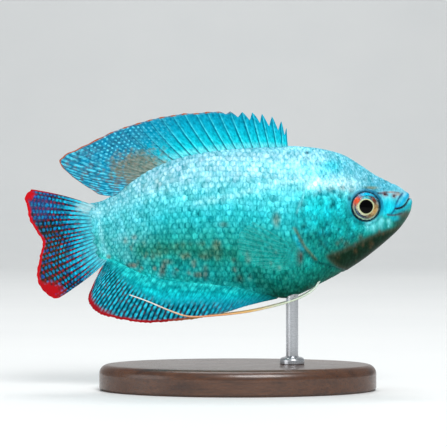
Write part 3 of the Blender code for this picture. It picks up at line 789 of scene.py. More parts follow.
def skin_uv(s, turn):
    """A place on the skin's unwrap: along the body, and once round it."""
    places = np.stack([s / BODY_END, turn / (2 * math.pi)], -1)
    return UNWRAP_EDGE + (1 - 2 * UNWRAP_EDGE) * places


def tail_slanted(s, turn):
    """The end of the body follows the slant of the tail fin's root."""
    return s + TAIL_SLANT * smooth(s, 50.0, TAIL_END) * np.cos(turn)


def make_skin(finish):
    head_rings, trunk_rings, around = 150, 110, 224
    head = HEAD_LENGTH * (np.arange(head_rings) / head_rings) ** 1.5
    rings = np.concatenate([head, np.linspace(HEAD_LENGTH, TAIL_END, trunk_rings)])
    s, turn = np.meshgrid(rings, even_turns(around), indexing="ij")
    s = tail_slanted(s, turn)
    plain = surface(s, turn)
    lift = -COAT_DEPTH * scaled_share(plain[..., 0], plain[..., 2])
    points, _ = dressed(s, turn, lift)
    points = points.reshape(-1, 3)
    snout = points[:around].mean(0)
    tail = points[-around:].mean(0) + (0.5, 0, 0)
    faces = grid_faces(len(rings), around, closed=True) + pole_faces(len(rings), around)
    made = new_piece("skin", np.vstack([points, snout, tail]), faces, finish)
    colour = paint(plain[..., 0], plain[..., 2]).reshape(-1, 3)
    set_colour(made, "tone", np.vstack([colour, colour[0], colour[-1]]))
    places = skin_uv(s, turn).reshape(-1, 2)
    set_uv(made, "OFBake", np.vstack([places, places[0], places[-1]]))
    flesh = ("head", "lower_jaw", "gill_cover_left", "gill_cover_right", "trunk", "tail_stalk")
    return belongs(made, "skin", *flesh)


class Girth:
    """Turns a distance over the flank, up from the widest level, into a turn round the body.

    It reads a table with a row for each place along the body and a column for each distance.
    """

    rows, columns, reach = 264, 480, 24.0

    def __init__(self):
        self.places = np.linspace(0.0, BODY_END, self.rows + 1)
        distances = np.linspace(-self.reach, self.reach, self.columns + 1)
        turn = np.linspace(-0.6, math.pi + 0.6, 900)
        table = []
        self.top, self.bottom = [], []
        for s in self.places:
            ring = surface(np.full(turn.shape, s), turn)
            steps = np.linalg.norm(np.diff(ring, axis=0), axis=1)
            length = np.concatenate([[0], np.cumsum(steps)])
            middle = np.interp(math.pi / 2, turn, length)
            climb = middle - length
            table.append(np.interp(distances, climb[::-1], turn[::-1]))
            self.top.append(np.interp(0.0, turn, climb))
            self.bottom.append(np.interp(math.pi, turn, climb))
        self.table = np.array(table)

    def turn(self, s, climb):
        i = np.clip(s / BODY_END * self.rows, 0, self.rows - 0.001)
        step = 2 * self.reach / self.columns
        k = np.clip((climb + self.reach) / step, 0, self.columns - 0.001)
        i0, k0 = i.astype(int), k.astype(int)
        di, dk = i - i0, k - k0
        near = self.table[i0, k0] * (1 - dk) + self.table[i0, k0 + 1] * dk
        far = self.table[i0 + 1, k0] * (1 - dk) + self.table[i0 + 1, k0 + 1] * dk
        return near * (1 - di) + far * di

    def limits(self, s):
        return np.interp(s, self.places, self.bottom), np.interp(s, self.places, self.top)


def taper(s):
    """The size of scales along the fish: full on the shoulder, smallest on the face."""
    grown = FACE_SHRINK + (1 - FACE_SHRINK) * smooth(s, 7.0, 25.0)
    return grown * (1 - (1 - TAIL_SHRINK) * smooth(s, 40.0, 60.0))


def plate_places(girth, sites, a, b):
    """s and turn of points of the scales, a along them and b across."""
    s = sites[:, 0, None] + a * SCALE_LENGTH * taper(sites[:, 0, None])
    rank = sites[:, 1, None] + b * 0.5 * SCALE_HEIGHT
    return s, girth.turn(s, rank * taper(s))


def scale_sites(girth):
    """Where one side's scales grow: s and rank of each root, and the share of it in sight.

    Ranks count up from the widest level in millimetres of full-sized scales. The gill
    cover's edge cuts a scale in two: one part ends at the edge, the other starts there.
    """
    columns = [FIRST_SCALE_S]
    while columns[-1] < LAST_SCALE_S:
        columns.append(columns[-1] + SCALE_PITCH / 2 * float(taper(columns[-1])))
    sites = []
    for row in range(-ROWS_ABOVE, ROWS_ABOVE + 1):
        for s in columns[row % 2 :: 2]:
            low, high = girth.limits(s)
            if low + 0.1 < row * ROW_STEP * taper(s) < high + 0.2:
                sites.append((s, row * ROW_STEP))
    sites = np.array(sites)
    sites += chance.normal(0, SITE_SPREAD, sites.shape)
    steps = 32
    share = np.linspace(0, 1, steps + 1)
    s, turn = plate_places(girth, sites, share, 0.0)
    h = surface(s, turn)[..., 2]
    inside = -line_distance(NAPE[:1] + GILL_EDGE, s, h)
    split = h < NAPE[1][1]
    half, late = steps // 2, steps * 7 // 8
    bare = scaled_share(s[:, (0, half)], h[:, (0, half)]).min(1) < 0.5
    bare |= s[:, late] > fan_root(h[:, late]) + 1.0
    front = split & (inside > 0.08)
    rear = split & (inside < -0.02)
    cut = (front.any(1) & rear.any(1))[:, None]
    parts = []
    for held in (front & cut, rear & cut | ~cut):
        first = np.argmax(held, 1) / steps
        last = 1 - np.argmax(held[:, ::-1], 1) / steps
        seen = held.any(1) & ~bare & (last - first > 0.45)
        parts.append(np.column_stack([sites, first, last])[seen])
    return np.vstack(parts)


def plate_shape():
    """One scale's points: share along it, place across it, and closeness to its free rim."""
    along = np.array((0.0, 0.28, 0.54, 0.76, 0.92, 1.0))
    across = np.linspace(-1, 1, 7)
    a, b = np.meshgrid(along, across, indexing="ij")
    wide = np.where(a < 0.5, 0.8 + 0.4 * a, np.sqrt(np.clip(1 - ((a - 0.5) / 0.56) ** 2, 0, 1)))
    rim = np.clip(np.maximum(np.abs(b) ** 3 * smooth(a, 0.1, 0.5), smooth(a, 0.72, 1.0)), 0, 1)
    return a - 0.05 * b * b * a, b * wide, rim


def make_coat(name, side, sites, girth, finish):
    """A part of one side's coat: a closed plate for each scale, all in one mesh."""
    a, b, rim = plate_shape()
    rows, columns = a.shape
    a, b, rim = a.ravel(), b.ravel(), rim.ravel()
    along = sites[:, 2, None] + (sites[:, 3] - sites[:, 2])[:, None] * a
    s, plain_turn = plate_places(girth, sites, along, b)
    lean = chance.normal(0, LEAN_SPREAD, (len(sites), 1))
    lift = (PLATE_TILT + lean) * a - COAT_DEPTH + PLATE_CURVE * (1 - b * b)
    lift = lift - ROOT_SINK * smooth(a, 0.28, 0.0)
    top, normal = dressed(s, on_side(plain_turn, side), lift)
    bottom = top - normal * PLATE_THICKNESS
    points = np.concatenate([top, bottom], 1)
    faces = np.array(plate_faces(rows, columns))
    if side > 0:
        faces = faces[:, ::-1]
    offsets = 2 * rows * columns * np.arange(len(sites))
    every = (faces[None] + offsets[:, None, None]).reshape(-1, 4)
    made = new_piece(name, points.reshape(-1, 3), every.tolist(), finish, sharp=40.0)
    dress_plates(made, sites, girth, side, (a, b, rim), (s, plain_turn))
    return belongs(made, "skin")


def dress_plates(made, sites, girth, side, shape, places):
    """A coat's colours, its shares of rim, heart and crispness, its luck and its UV map."""
    a, b, rim = shape
    s, turn = places
    count, both = len(sites), 2 * a.size
    tone = paint(s, surface(s, turn)[..., 2])
    tone = np.clip(tone * np.exp(chance.normal(0, TONE_SPREAD, (count, 1, 1))), 0, 1)
    set_colour(made, "tone", np.concatenate([tone, tone], 1))
    heart = bump(np.hypot(b / 0.5, (a - 0.7) / 0.2), 1.0)
    heart = np.tile(heart, 2)[None] * chance.beta(1.4, 1.2, (count, 1))
    hard = 0.3 + 0.7 * smooth(sites[:, 0], 17.0, 27.0)
    set_number(made, "heart", heart * hard[:, None])
    set_number(made, "rim", np.tile(rim, 2 * count))
    set_number(made, "hard", np.repeat(hard, both))
    set_number(made, "luck", np.repeat(chance.random(count), both))
    root_s, root_turn = plate_places(girth, sites, np.zeros((count, 1)), 0.0)
    roots = skin_uv(root_s, on_side(root_turn, side)).reshape(-1, 2)
    roots = np.repeat(roots, both, 0)
    local = np.tile(np.stack([b, a], -1), (2 * count, 1))
    set_uv(made, "OFBake", roots + local * PLATE_PATCH)


# Fins


def fin_grid(rays, per_ray):
    """Places of a fin's columns, counted in rays, and each one's distance from its ray."""
    places = np.linspace(0, rays - 1, (rays - 1) * per_ray + 1)
    return places, np.abs(places - np.round(places))


def split_off(off, v, soft):
    """Distance from the nearer branch of a soft ray, which forks on its way out."""
    return np.abs(off - FORK_SPREAD * smooth(v, 0.4, 0.9) * soft)


def fin_reach(places, off, rays, notch, teeth):
    """How far out each column of a fin goes, as a share of its ray's length."""
    ragged = np.interp(places, np.arange(rays), chance.normal(0, RAY_RAGGED, rays))
    depth = notch + np.zeros(len(places))
    if teeth:
        depth = depth + TOOTH_DEPTH * np.clip(1 - places / teeth, 0, 1) ** 0.8
    return 1 + ragged - 0.01 - depth * (2 * off) ** 1.1


def make_fin(name, roots, tips, rays, finish, bow=(0.0, 0.0), soft_from=0, teeth=0, **shape):
    """A fin as a closed sheet with a ridge for each ray, in millimetres.

    bow bends the first and the last ray, by shares of their lengths. Rays fork from
    soft_from on, and the gaps between the first few, teeth, are cut back. shape may hold:
    at, each ray's place among the guides; per_ray, columns of points for each ray; wave,
    the margin's sway; ray and web, half thicknesses; lie, the middle surface's y at
    (s, h, v); notch, the margin's dip between rays; fillet, the root's swell at the body.
    """
    per_ray, rows = shape.get("per_ray", 8), 48
    places, off = fin_grid(rays, per_ray)
    at = shape.get("at", np.linspace(0, len(roots) - 1, rays))
    guide = np.interp(places, np.arange(rays), at)
    root, tip = rows_at(roots, guide), rows_at(tips, guide)
    reach = fin_reach(places, off, rays, shape.get("notch", 0.012), teeth)
    v = np.linspace(0, 1, rows)[None] * reach[:, None]
    along = tip - root
    side = np.stack([-along[:, 1], along[:, 0]], -1)
    bend = np.interp(places, (0, rays - 1), bow)[:, None] * 4 * v * (1 - v)
    flat = root[:, None] + along[:, None] * v[..., None] + side[:, None] * bend[..., None]
    length = np.linalg.norm(along, axis=1)[:, None]
    grown = smooth(length, 1.5, 6.0)
    sway = shape.get("wave", 0.0) * grown * v**2 * np.sin(places * 0.9)[:, None]
    lie = shape.get("lie")
    y = sway + (lie(flat[..., 0], flat[..., 1], v) if lie else 0.0)
    middle = np.stack([flat[..., 0], y, flat[..., 1]], -1)
    soft = smooth(places, soft_from - 1, soft_from)[:, None]
    crest = bump(split_off(off[:, None], v, soft), CREST_WIDTH)
    ray, web = shape.get("ray", 0.26), shape.get("web", 0.1)
    half = web * (1 - 0.4 * v) + (ray - web) * crest * (1 - 0.72 * v)
    half = half * (1 - 0.6 * smooth(v / reach[:, None], 0.93, 1.0))
    half = half + shape.get("fillet", 0.0) * grown * bump(v * length, FILLET_REACH)
    made = sheet_piece(name, middle, half, finish)
    numbers = {
        "ray": places[:, None],
        "out": v / reach.max(),
        "crest": crest,
        "from_rim": (reach[:, None] - v) * length,
        "reach": v * length,
        "run": flat[..., 0],
        "height": flat[..., 1],
    }
    for word, values in numbers.items():
        set_number(made, word, np.tile(np.broadcast_to(values, v.shape).ravel(), 2))
    return made


def sheet_piece(name, middle, half, finish):
    """A closed sheet about a grid of middle points, half its thickness out to each side."""
    across = np.gradient(middle, axis=0)
    along = np.gradient(middle, axis=1)
    normal = np.cross(across, along)
    normal /= np.maximum(np.linalg.norm(normal, axis=2), 1e-9)[:, :, None]
    front = middle + normal * half[:, :, None]
    back = middle - normal * half[:, :, None]
    points = np.concatenate([front.reshape(-1, 3), back.reshape(-1, 3)])
    return new_piece(name, points, plate_faces(*half.shape), finish, sharp=60.0)


def make_dorsal(finish):
    roots = [(g[0], float(back_h(g[0])) - ROOT_DEPTH) for g in DORSAL_GUIDES]
    tips = [g[1:] for g in DORSAL_GUIDES]
    made = make_fin(
        "dorsal_fin_skin", roots, tips, DORSAL_RAYS, finish, (0.0, -0.05),
        soft_from=DORSAL_SPINES, teeth=7, wave=0.3, fillet=0.5,
        at=np.interp(np.arange(DORSAL_RAYS), (0, 4, DORSAL_RAYS - 1), (0, 4, len(roots) - 1)),
    )
    return belongs(made, "fin", "dorsal_fin")


def make_anal(finish):
    roots = [(g[0], float(belly_h(g[0])) + ROOT_DEPTH) for g in ANAL_GUIDES]
    tips = [g[1:] for g in ANAL_GUIDES]
    made = make_fin(
        "anal_fin_skin", roots, tips, ANAL_RAYS, finish, (0.0, 0.04),
        soft_from=ANAL_SPINES, wave=0.25, ray=0.19, fillet=0.95, per_ray=5,
    )
    return belongs(made, "fin", "anal_fin")


def make_caudal(finish):
    heights = np.linspace(CAUDAL_ROOT_TOP, CAUDAL_ROOT_BOTTOM, len(CAUDAL_TIPS))
    inner = (heights - CAUDAL_MIDDLE_H) * 0.86 + CAUDAL_MIDDLE_H
    roots = list(zip(fan_root(heights) - CAUDAL_ROOT_DEPTH, inner))
    made = make_fin(
        "caudal_fin_skin", roots, CAUDAL_TIPS, CAUDAL_RAYS, finish, (0.03, -0.03),
        wave=0.3, notch=0.008, ray=0.18, fillet=0.06,
    )
    return belongs(made, "fin", "caudal_fin")


def make_pectoral(name, side, node, finish):
    places = np.linspace(0, 1, len(PECTORAL_TIPS))
    top, bottom = np.array(PECTORAL_ROOT)
    roots = [tuple(top + (bottom - top) * p - (0.3, 0.0)) for p in places]

    def lie(s, h, v):
        return side * (flank_y(s, h) + 0.15 + PECTORAL_LIFT * v**1.3)

    made = make_fin(
        name, roots, PECTORAL_TIPS, PECTORAL_RAYS, finish,
        lie=lie, ray=0.11, web=0.04, notch=0.02,
    )
    return belongs(made, "clear_fin", node)


def make_feeler(name, side, node, finish):
    """A pelvic feeler: a long tapering thread, faintly ringed."""
    path = curve_through([(s, side * y, h) for s, h, y in FEELER_PATH], 16)
    share = np.linspace(0, 1, len(path))
    widths = (FEELER_ROOT_RADIUS, FEELER_RADIUS, FEELER_RADIUS * 0.85, FEELER_TIP_RADIUS)
    radii = np.interp(share, (0.0, 0.12, 0.8, 1.0), widths)
    radii = radii * (1 + 0.05 * np.cos(share * 420))
    sides = 10
    points = []
    across = np.array((0.0, 1.0, 0.0))
    for k, place in enumerate(path):
        along = path[min(k + 1, len(path) - 1)] - path[max(k - 1, 0)]
        along /= np.linalg.norm(along)
        up = np.cross(along, across)
        up /= np.linalg.norm(up)
        turn = even_turns(sides)
        ring = np.outer(np.cos(turn), up) + np.outer(np.sin(turn), np.cross(up, along))
        points.append(place + ring * radii[k])
    made = new_piece(name, np.concatenate(points), tube_faces(len(path), sides), finish)
    set_number(made, "out", np.repeat(share, sides))
    return belongs(made, "feeler", node)


# Eyes


def make_eye(name, side, node, finish):
    """A flattened eyeball with its cornea slightly domed over the pupil."""
    s, h = EYE_CENTRE
    lean = float(flank_y(s + 1, h) - flank_y(s - 1, h)) / 2
    rings, segments = 72, 96
    polar = math.pi * (np.arange(rings) + 0.5) / rings
    polar, turn = np.meshgrid(polar, even_turns(segments), indexing="ij")
    reach = EYE_RADIUS * np.sin(polar)
    ds, dh = reach * np.cos(turn), reach * np.sin(turn)
    out = EYE_DEPTH * np.cos(polar) + CORNEA_DOME * bump(reach, 1.5) * (np.cos(polar) > 0)
    y = float(flank_y(s, h)) - EYE_SINK + out + lean * ds
    points = np.stack([s + ds, side * y, h + dh], -1).reshape(-1, 3)
    poles = [points[:segments].mean(0), points[-segments:].mean(0)]
    faces = grid_faces(rings, segments, closed=True) + pole_faces(rings, segments)
    if side > 0:
        faces = [face[::-1] for face in faces]
    made = new_piece(name, np.vstack([points, poles]), faces, finish, sharp=None)
    set_number(made, "ring", np.append(reach.ravel(), (0.0, 0.0)))
    angle = np.degrees(np.arctan2(dh, ds)).ravel()
    for word, (middle, spread) in EYE_MARKS.items():
        away = (angle - middle + 180) % 360 - 180
        set_number(made, word, np.append(bump(away, spread), (0, 0)))
    return belongs(made, "eye", node)


# Stand


def turned(name, profile, sides, stretch, centre_s, finish, slot, node):
    """A closed shape turned about an upright axis from (radius, z) rows, z from the floor."""
    turn = even_turns(sides)
    rows = []
    for radius, z in profile:
        s = centre_s + (radius + stretch) * np.cos(turn)
        rows.append(np.stack([s, radius * np.sin(turn), np.full(sides, z - FIN_CLEARANCE)], -1))
    faces = tube_faces(len(profile), sides)
    made = new_piece(name, np.concatenate(rows), faces, finish, sharp=35.0)
    return belongs(made, slot, node)


def make_base(finish):
    """The plinth: an eased foot, a straight edge, and a rounded edge into its flat top."""
    edge = BASE_WIDTH / 2
    profile = [(edge - 0.5, 0.0), (edge, 0.5), (edge, 3.2)]
    corner = 1.8
    for sine, cosine in quarter(8):
        profile.append((edge - corner * (1 - cosine), BASE_HEIGHT - corner * (1 - sine)))
    profile += [(edge - 6.0, BASE_HEIGHT), (edge - 12.0, BASE_HEIGHT)]
    stretch = (BASE_LENGTH - BASE_WIDTH) / 2
    args = (180, stretch, BASE_MIDDLE_S, finish, "wood", "stand_base")
    return turned("plinth", profile, *args)


def make_rod(finish):
    foot = BASE_HEIGHT - 2.0
    profile = [(ROD_RADIUS, foot), (ROD_RADIUS, BASE_HEIGHT - 0.2)]
    profile += [(COLLAR_RADIUS - 0.2, BASE_HEIGHT - 0.05), (COLLAR_RADIUS, BASE_HEIGHT + 0.1)]
    for sine, cosine in quarter(6):
        reach = ROD_RADIUS + 0.25 + (COLLAR_RADIUS - ROD_RADIUS - 0.25) * cosine
        profile.append((reach, BASE_HEIGHT + 0.75 + 0.65 * sine))
    profile += [(ROD_RADIUS, BASE_HEIGHT + 1.6), (ROD_RADIUS, ROD_TOP_H + FIN_CLEARANCE)]
    return turned("rod", profile, 64, 0.0, ROD_S, finish, "steel", "stand_rod")


# Materials


WET = {"Specular_IOR_Level": 0.1, "Specular_Tint": (0.35, 0.9, 1.0, 1.0)}


def lighter(made, tone):
    """A paler tone, which gains most in red."""
    raised = made.mix(1.0, tone, (1.65, 1.3, 1.26), "MULTIPLY")
    return made.mix(1.0, raised, (0.006, 0.022, 0.022), "ADD")


def darker(made, tone):
    """A deeper tone, which loses most of its red unless it is pale."""
    red = made.add("ShaderNodeSeparateColor", {"Color": tone}).outputs["Red"]
    shade = made.ramp(red, ((0.03, (0.06, 0.54, 0.58)), (0.34, (0.5, 0.8, 0.84))))
    return made.mix(1.0, tone, shade, "MULTIPLY")


def mottled(made, tone, height, low, high):
    """A tone deepened where the height is low and paler where it is high.

    low is the height of the deepest tone, where it ends, and its strength; high is where
    the paler tone starts, where it is full, and its strength.
    """
    dark, light = darker(made, tone), lighter(made, tone)
    tone = made.mix(made.fall(height, *low), tone, dark)
    return made.mix(made.rise(height, *high), tone, light)


def flecked(made, tone, strength, vector, luck=0.0):
    """Fine flecks of light and dark, about 1 long on each axis of a vector, and their height."""
    height = made.noise(1.0, vector, 2.5, 0.6, luck)
    return mottled(made, tone, height, (0.36, 0.5, strength), (0.5, 0.66, strength)), height


def upright(made):
    """Places for flecks on the body, taller than they are long."""
    return made.stretched(made.place(), (2300.0, 1100.0, 900.0))


def skin_material():
    made = Shader("fish_skin", Coat_Weight=0.03, Coat_Roughness=0.15, **WET)
    tone, _ = flecked(made, made.colour("tone"), 0.5, upright(made))
    blotch = made.noise(700.0, detail=4.0)
    tone = mottled(made, tone, blotch, (0.3, 0.48, 0.5), (0.52, 0.7, 0.5))
    made.set("Base Color", tone)
    made.set("Roughness", made.ramp(blotch, ((0.3, 0.34), (0.75, 0.5))))
    made.set_bump(made.noise(1400.0, detail=5.0), 0.4, 0.05)
    return made.material


def coat_material():
    made = Shader("fish_scales", Metallic=0.15, **WET)
    tone = made.colour("tone")
    rim = made.times(made.rise(made.number("rim"), 0.2, 0.9, 0.5), made.number("hard"))
    lit = made.mix(1.0, lighter(made, tone), (0.03, 0.16, 0.15), "SCREEN")
    glint = made.mix(made.times(made.number("heart"), 0.9), tone, lit)
    tone = made.mix(rim, glint, darker(made, tone))
    blotch = made.noise(1100.0)
    tone = mottled(made, tone, blotch, (0.34, 0.48, 0.45), (0.54, 0.68, 0.4))
    luck = made.times(made.number("luck"), 6.0)
    tone, flecks = flecked(made, tone, 0.9, upright(made), luck)
    return made.finish(tone, flecks, ((0.3, 0.32), (0.7, 0.5)), 0.25, 0.04)


def from_ray(made):
    """Distance from the nearest ray, in gaps: 0 on a ray and 0.5 midway, slightly wavering."""
    ray = made.plus(made.plus(made.number("ray"), made.waver(600.0, 0.3)), 0.5)
    return made.math("ABSOLUTE", made.less(made.math("FRACT", ray), 0.5))


def tinted(made, value, stops):
    """A ramp of colours given as they look on screen."""
    return made.ramp(value, [(place, srgb(*tint)) for place, tint in stops])


def by_reach(made, stops):
    """A colour that changes from a fin's or feeler's root to its end."""
    return tinted(made, made.number("out"), stops)


def fin_flecks(made, tone, strength):
    """Flecks drawn out along the rays."""
    ray = made.times(made.number("ray"), 4.0)
    reach = made.times(made.number("reach"), 1.1)
    along = made.add("ShaderNodeCombineXYZ", {"X": ray, "Y": reach}).outputs[0]
    return flecked(made, tone, strength, along)[0]


def root_scales(made, tone, size, strength):
    """Small rounded cells, pale in their middles and dark between, as scales on a fin's root."""
    places = made.stretched(made.place(), (1000 / size, 1000 / size, 1000 / size))
    cell = made.add("ShaderNodeTexVoronoi", {"Vector": places, "Scale": 1.0}).outputs["Distance"]
    between = made.times(made.rise(cell, 0.42, 0.7), strength)
    middle = made.times(made.fall(cell, 0.1, 0.42), strength)
    tone = made.mix(between, tone, darker(made, tone))
    return made.mix(middle, tone, lighter(made, tone))


def dashes(made, rows, pitch, wide, long, shift=0.0):
    """Dashes along the rays, a pitch apart in millimetres: 1 in a dash and 0 around it.

    rows counts the lines of dashes for each ray; wide and long are a dash's half sizes as
    shares of its line and pitch.
    """
    ray = made.plus(made.times(made.number("ray"), rows), shift)
    drift = made.times(made.noise(450.0), 1.6)
    stagger = made.plus(made.times(made.math("FLOOR", ray), 0.47), drift)
    reach = made.plus(made.over(made.number("reach"), pitch), stagger)
    away = []
    for value, half in ((ray, wide), (reach, long)):
        away.append(made.over(made.less(made.math("FRACT", value), 0.5), half))
    total = made.times(made.hypot(*away), 0.5)
    return made.fall(made.plus(total, made.waver(1500.0, 1.0)), 0.3, 0.6)


def uneven(made, share, scale, least, luck=0.0):
    """A share that comes and goes over the fin, falling to a least part of itself."""
    return made.times(share, made.ramp(made.noise(scale, luck=luck), ((0.38, least), (0.56, 1.0))))


def margin(made, tint, width, base, start=None, end=None):
    """A coloured edge of a width in millimetres, fading in along s from start to end."""
    gap = made.plus(made.number("from_rim"), made.waver(500.0, width))
    share = made.fall(made.over(gap, 4.0), width / 8, width / 4)
    if start is not None:
        share = made.times(share, along_run(made, start, end))
    return made.mix(share, base, srgb(*tint))


def patch(made, centre, reach, tint, strength, base):
    """A ragged patch on a fin at (s, h)."""
    away = []
    for name, middle, half in zip(("run", "height"), centre, reach):
        away.append(made.over(made.less(made.number(name), middle), half))
    total = made.plus(made.hypot(*away), made.waver(900.0, 1.6))
    share = made.fall(total, 0.5, 1.15, strength)
    return made.mix(share, base, srgb(*tint))


def along_run(made, start, end, strength=1.0):
    """A share that grows from 0 to strength between two places along the fish."""
    run = made.over(made.less(made.number("run"), start), end - start)
    return made.rise(run, 0.0, 1.0, strength)


def finish_fin(made, colour):
    grain = made.noise(1300.0, detail=4.0)
    return made.finish(colour, grain, ((0.3, 0.34), (0.75, 0.52)), 0.35, 0.04)


def dorsal_material():
    made = Shader("dorsal_blue", **WET)
    stops = (
        (0.1, (96, 214, 224)), (0.22, (8, 198, 214)), (0.6, (0, 170, 198)), (0.9, (2, 146, 178)),
    )
    tone = by_reach(made, stops)
    # Behind each spine lies a dark line of painted shadow, with a bright line of painted highlight
    # before it
    line = made.math("FRACT", made.number("ray"))
    dark = made.ramp(line, ((0.02, 0.0), (0.07, 0.85), (0.14, 0.75), (0.3, 0.0)))
    lit = made.ramp(line, ((0.0, 0.8), (0.04, 0.0), (0.88, 0.0), (1.0, 0.8)))
    low = made.ramp(made.number("out"), ((0.45, 1.0), (0.95, 0.45)))
    tone = made.mix(made.times(dark, low), tone, srgb(0, 84, 112))
    tone = made.mix(made.times(lit, low), tone, srgb(80, 230, 240))
    # Towards the tail the fin darkens to blue and rust, with rows of pale dashes
    rear = along_run(made, 45.0, 56.0)
    dusk = made.mix(made.rise(made.noise(420.0), 0.4, 0.6), srgb(4, 122, 164), srgb(44, 108, 140))
    tone = made.mix(made.times(rear, 0.85), tone, dusk)
    low_rays = made.rise(made.over(made.number("ray"), DORSAL_RAYS - 1), 0.72, 0.82)
    rows = made.mix(low_rays, dashes(made, 3, 0.8, 0.24, 0.3), dashes(made, 2, 2.7, 0.3, 0.44))
    rows = made.times(uneven(made, rows, 600.0, 0.4), rear)
    rust = made.times(made.rise(made.noise(700.0, luck=5.0), 0.48, 0.6, 0.6), low_rays)
    tone = made.mix(rust, tone, srgb(104, 78, 74))
    tone = made.mix(rows, tone, srgb(84, 208, 234))
    tone = patch(made, (52.8, 30.0), (7.4, 4.6), (122, 114, 86), 0.78, tone)
    tone = fin_flecks(made, tone, 0.8)
    edged = margin(made, (170, 88, 48), 0.36, tone, 33.0, 40.0)
    near_ray = made.ramp(from_ray(made), ((0.14, 1.0), (0.3, 0.15)))
    near_ray = made.math("MAXIMUM", near_ray, along_run(made, 56.0, 62.0))
    return finish_fin(made, made.mix(near_ray, tone, edged))


def anal_material():
    made = Shader("anal_blue", **WET)
    # The pale root is partly the fin's own colour and partly painted light, lightening the shadow
    # that the body casts on it
    stops = (
        (0.0, (48, 218, 216)), (0.25, (12, 214, 222)), (0.6, (6, 182, 208)), (1.0, (20, 160, 200)),
    )
    tone = by_reach(made, stops)
    tone = root_scales(made, tone, 1.0, made.ramp(made.number("out"), ((0.25, 0.9), (0.5, 0.2))))
    thin = made.times(made.rise(from_ray(made), 0.3, 0.46, 0.55), made.noise(500.0))
    tone = made.mix(thin, tone, srgb(2, 96, 116))
    # The outer part is dark, most of all on its rays, with pale dashes between them
    rear = along_run(made, 28.0, 42.0)
    start = made.plus(made.number("out"), along_run(made, 49.0, 58.0, 0.35))
    outer = made.times(made.rise(start, 0.4, 0.62), rear)
    ground = made.mix(made.rise(made.noise(900.0), 0.5, 0.6), srgb(2, 26, 46), srgb(70, 14, 34))
    shade = made.ramp(from_ray(made), ((0.12, 0.95), (0.34, 0.5)))
    tone = made.mix(made.times(shade, outer), tone, ground)
    lit = made.times(uneven(made, dashes(made, 1, 1.5, 0.3, 0.4), 900.0, 0.4), outer)
    tone = made.mix(lit, tone, srgb(40, 204, 232))
    tone = made.mix(along_run(made, 34.0, 27.0, 0.9), tone, srgb(4, 96, 88))
    tone = fin_flecks(made, tone, 0.8)
    tone = margin(made, (140, 124, 56), 0.5, tone, 34.0, 42.0)
    tone = margin(made, (168, 12, 22), 0.7, tone, 40.0, 48.0)
    tone = margin(made, (160, 10, 24), 1.5, tone, 57.5, 61.5)
    return finish_fin(made, tone)


def caudal_material():
    made = Shader("caudal_blue", **WET)
    dark_stops = (
        (0.08, (104, 184, 196)), (0.24, (56, 136, 160)), (0.42, (4, 34, 62)),
        (0.7, (12, 26, 28)), (1.0, (34, 38, 38)),
    )
    light_stops = (
        (0.08, (132, 208, 216)), (0.24, (72, 204, 222)), (0.55, (0, 196, 236)),
        (0.78, (0, 138, 186)), (1.0, (40, 96, 128)),
    )
    dark, light = by_reach(made, dark_stops), by_reach(made, light_stops)
    out_half = made.rise(made.number("out"), 0.35, 0.6)
    dark = patch(made, (70.5, 12.0), (4.4, 7.5), (50, 46, 24), 0.6, dark)
    violet = made.times(made.rise(made.noise(800.0, luck=2.0), 0.46, 0.58, 0.8), out_half)
    light = made.mix(violet, light, srgb(34, 66, 170))
    dark = patch(made, (72.5, 23.0), (4.0, 3.6), (58, 70, 128), 0.6, dark)
    # Blue streaks between the rays, whole at the root and broken into dashes further out
    streak = made.rise(from_ray(made), 0.12, 0.26)
    broken = made.rise(made.number("out"), 0.4, 0.66)
    kept = made.math("MAXIMUM", made.less(1.0, broken), dashes(made, 1, 0.74, 0.33, 0.35))
    tone = made.mix(uneven(made, made.times(streak, kept), 900.0, 0.4), dark, light)
    # Red dots in rows along the rays, fainter above
    shown = made.rise(made.number("out"), 0.24, 0.42, 0.95)
    low = made.ramp(made.over(made.number("ray"), CAUDAL_RAYS), ((0.2, 0.6), (0.6, 1.0)))
    red = made.times(dashes(made, 1, 0.8, 0.22, 0.3, 0.5), made.times(shown, low))
    tone = made.mix(uneven(made, red, 700.0, 0.1, 3.0), tone, srgb(150, 6, 26))
    tone = patch(made, (63.6, 22.6), (2.4, 1.5), (166, 206, 212), 0.75, tone)
    tone = fin_flecks(made, tone, 0.7)
    tone = margin(made, (196, 12, 24), 0.75, tone)
    first = made.fall(made.number("ray"), 0.12, 0.4)
    first = made.times(first, made.rise(made.number("out"), 0.5, 0.85))
    tone = made.mix(first, tone, srgb(180, 20, 32))
    tone = patch(made, (74.8, 25.0), (1.5, 1.2), (196, 12, 24), 1.0, tone)
    tone = patch(made, (71.2, 6.2), (4.0, 2.2), (176, 10, 20), 1.0, tone)
    return finish_fin(made, tone)


def pectoral_material():
    made = Shader("clear_fin_film", Roughness=0.3, **WET)
    veins = made.times(made.number("crest"), 0.6)
    milky = made.mix(made.noise(300.0), srgb(4, 150, 146), srgb(40, 184, 174))
    made.set("Base Color", made.mix(veins, milky, srgb(90, 200, 190)))
    made.set("Alpha", made.ramp(made.number("crest"), ((0.2, 0.12), (0.9, 0.26))))
    made.set_bump(made.noise(900.0), 0.2, 0.03)
    return made.material


def feeler_material():
    made = Shader("feeler", Roughness=0.4, Coat_Weight=0.2, Subsurface_Weight=0.1)
    stops = (
        (0.0, (130, 190, 190)), (0.08, (214, 236, 226)), (0.44, (218, 230, 198)),
        (0.54, (250, 196, 110)), (0.66, (250, 150, 100)), (0.76, (250, 186, 130)),
        (0.86, (248, 224, 208)), (1.0, (255, 252, 246)),
    )
    tone = by_reach(made, stops)
    mottle = made.noise(1600.0)
    tone = made.mix(made.rise(mottle, 0.4, 0.75, 0.4), tone, srgb(232, 190, 160), "MULTIPLY")
    made.set("Base Color", tone)
    made.set_bump(mottle, 0.3, 0.04)
    return made.material


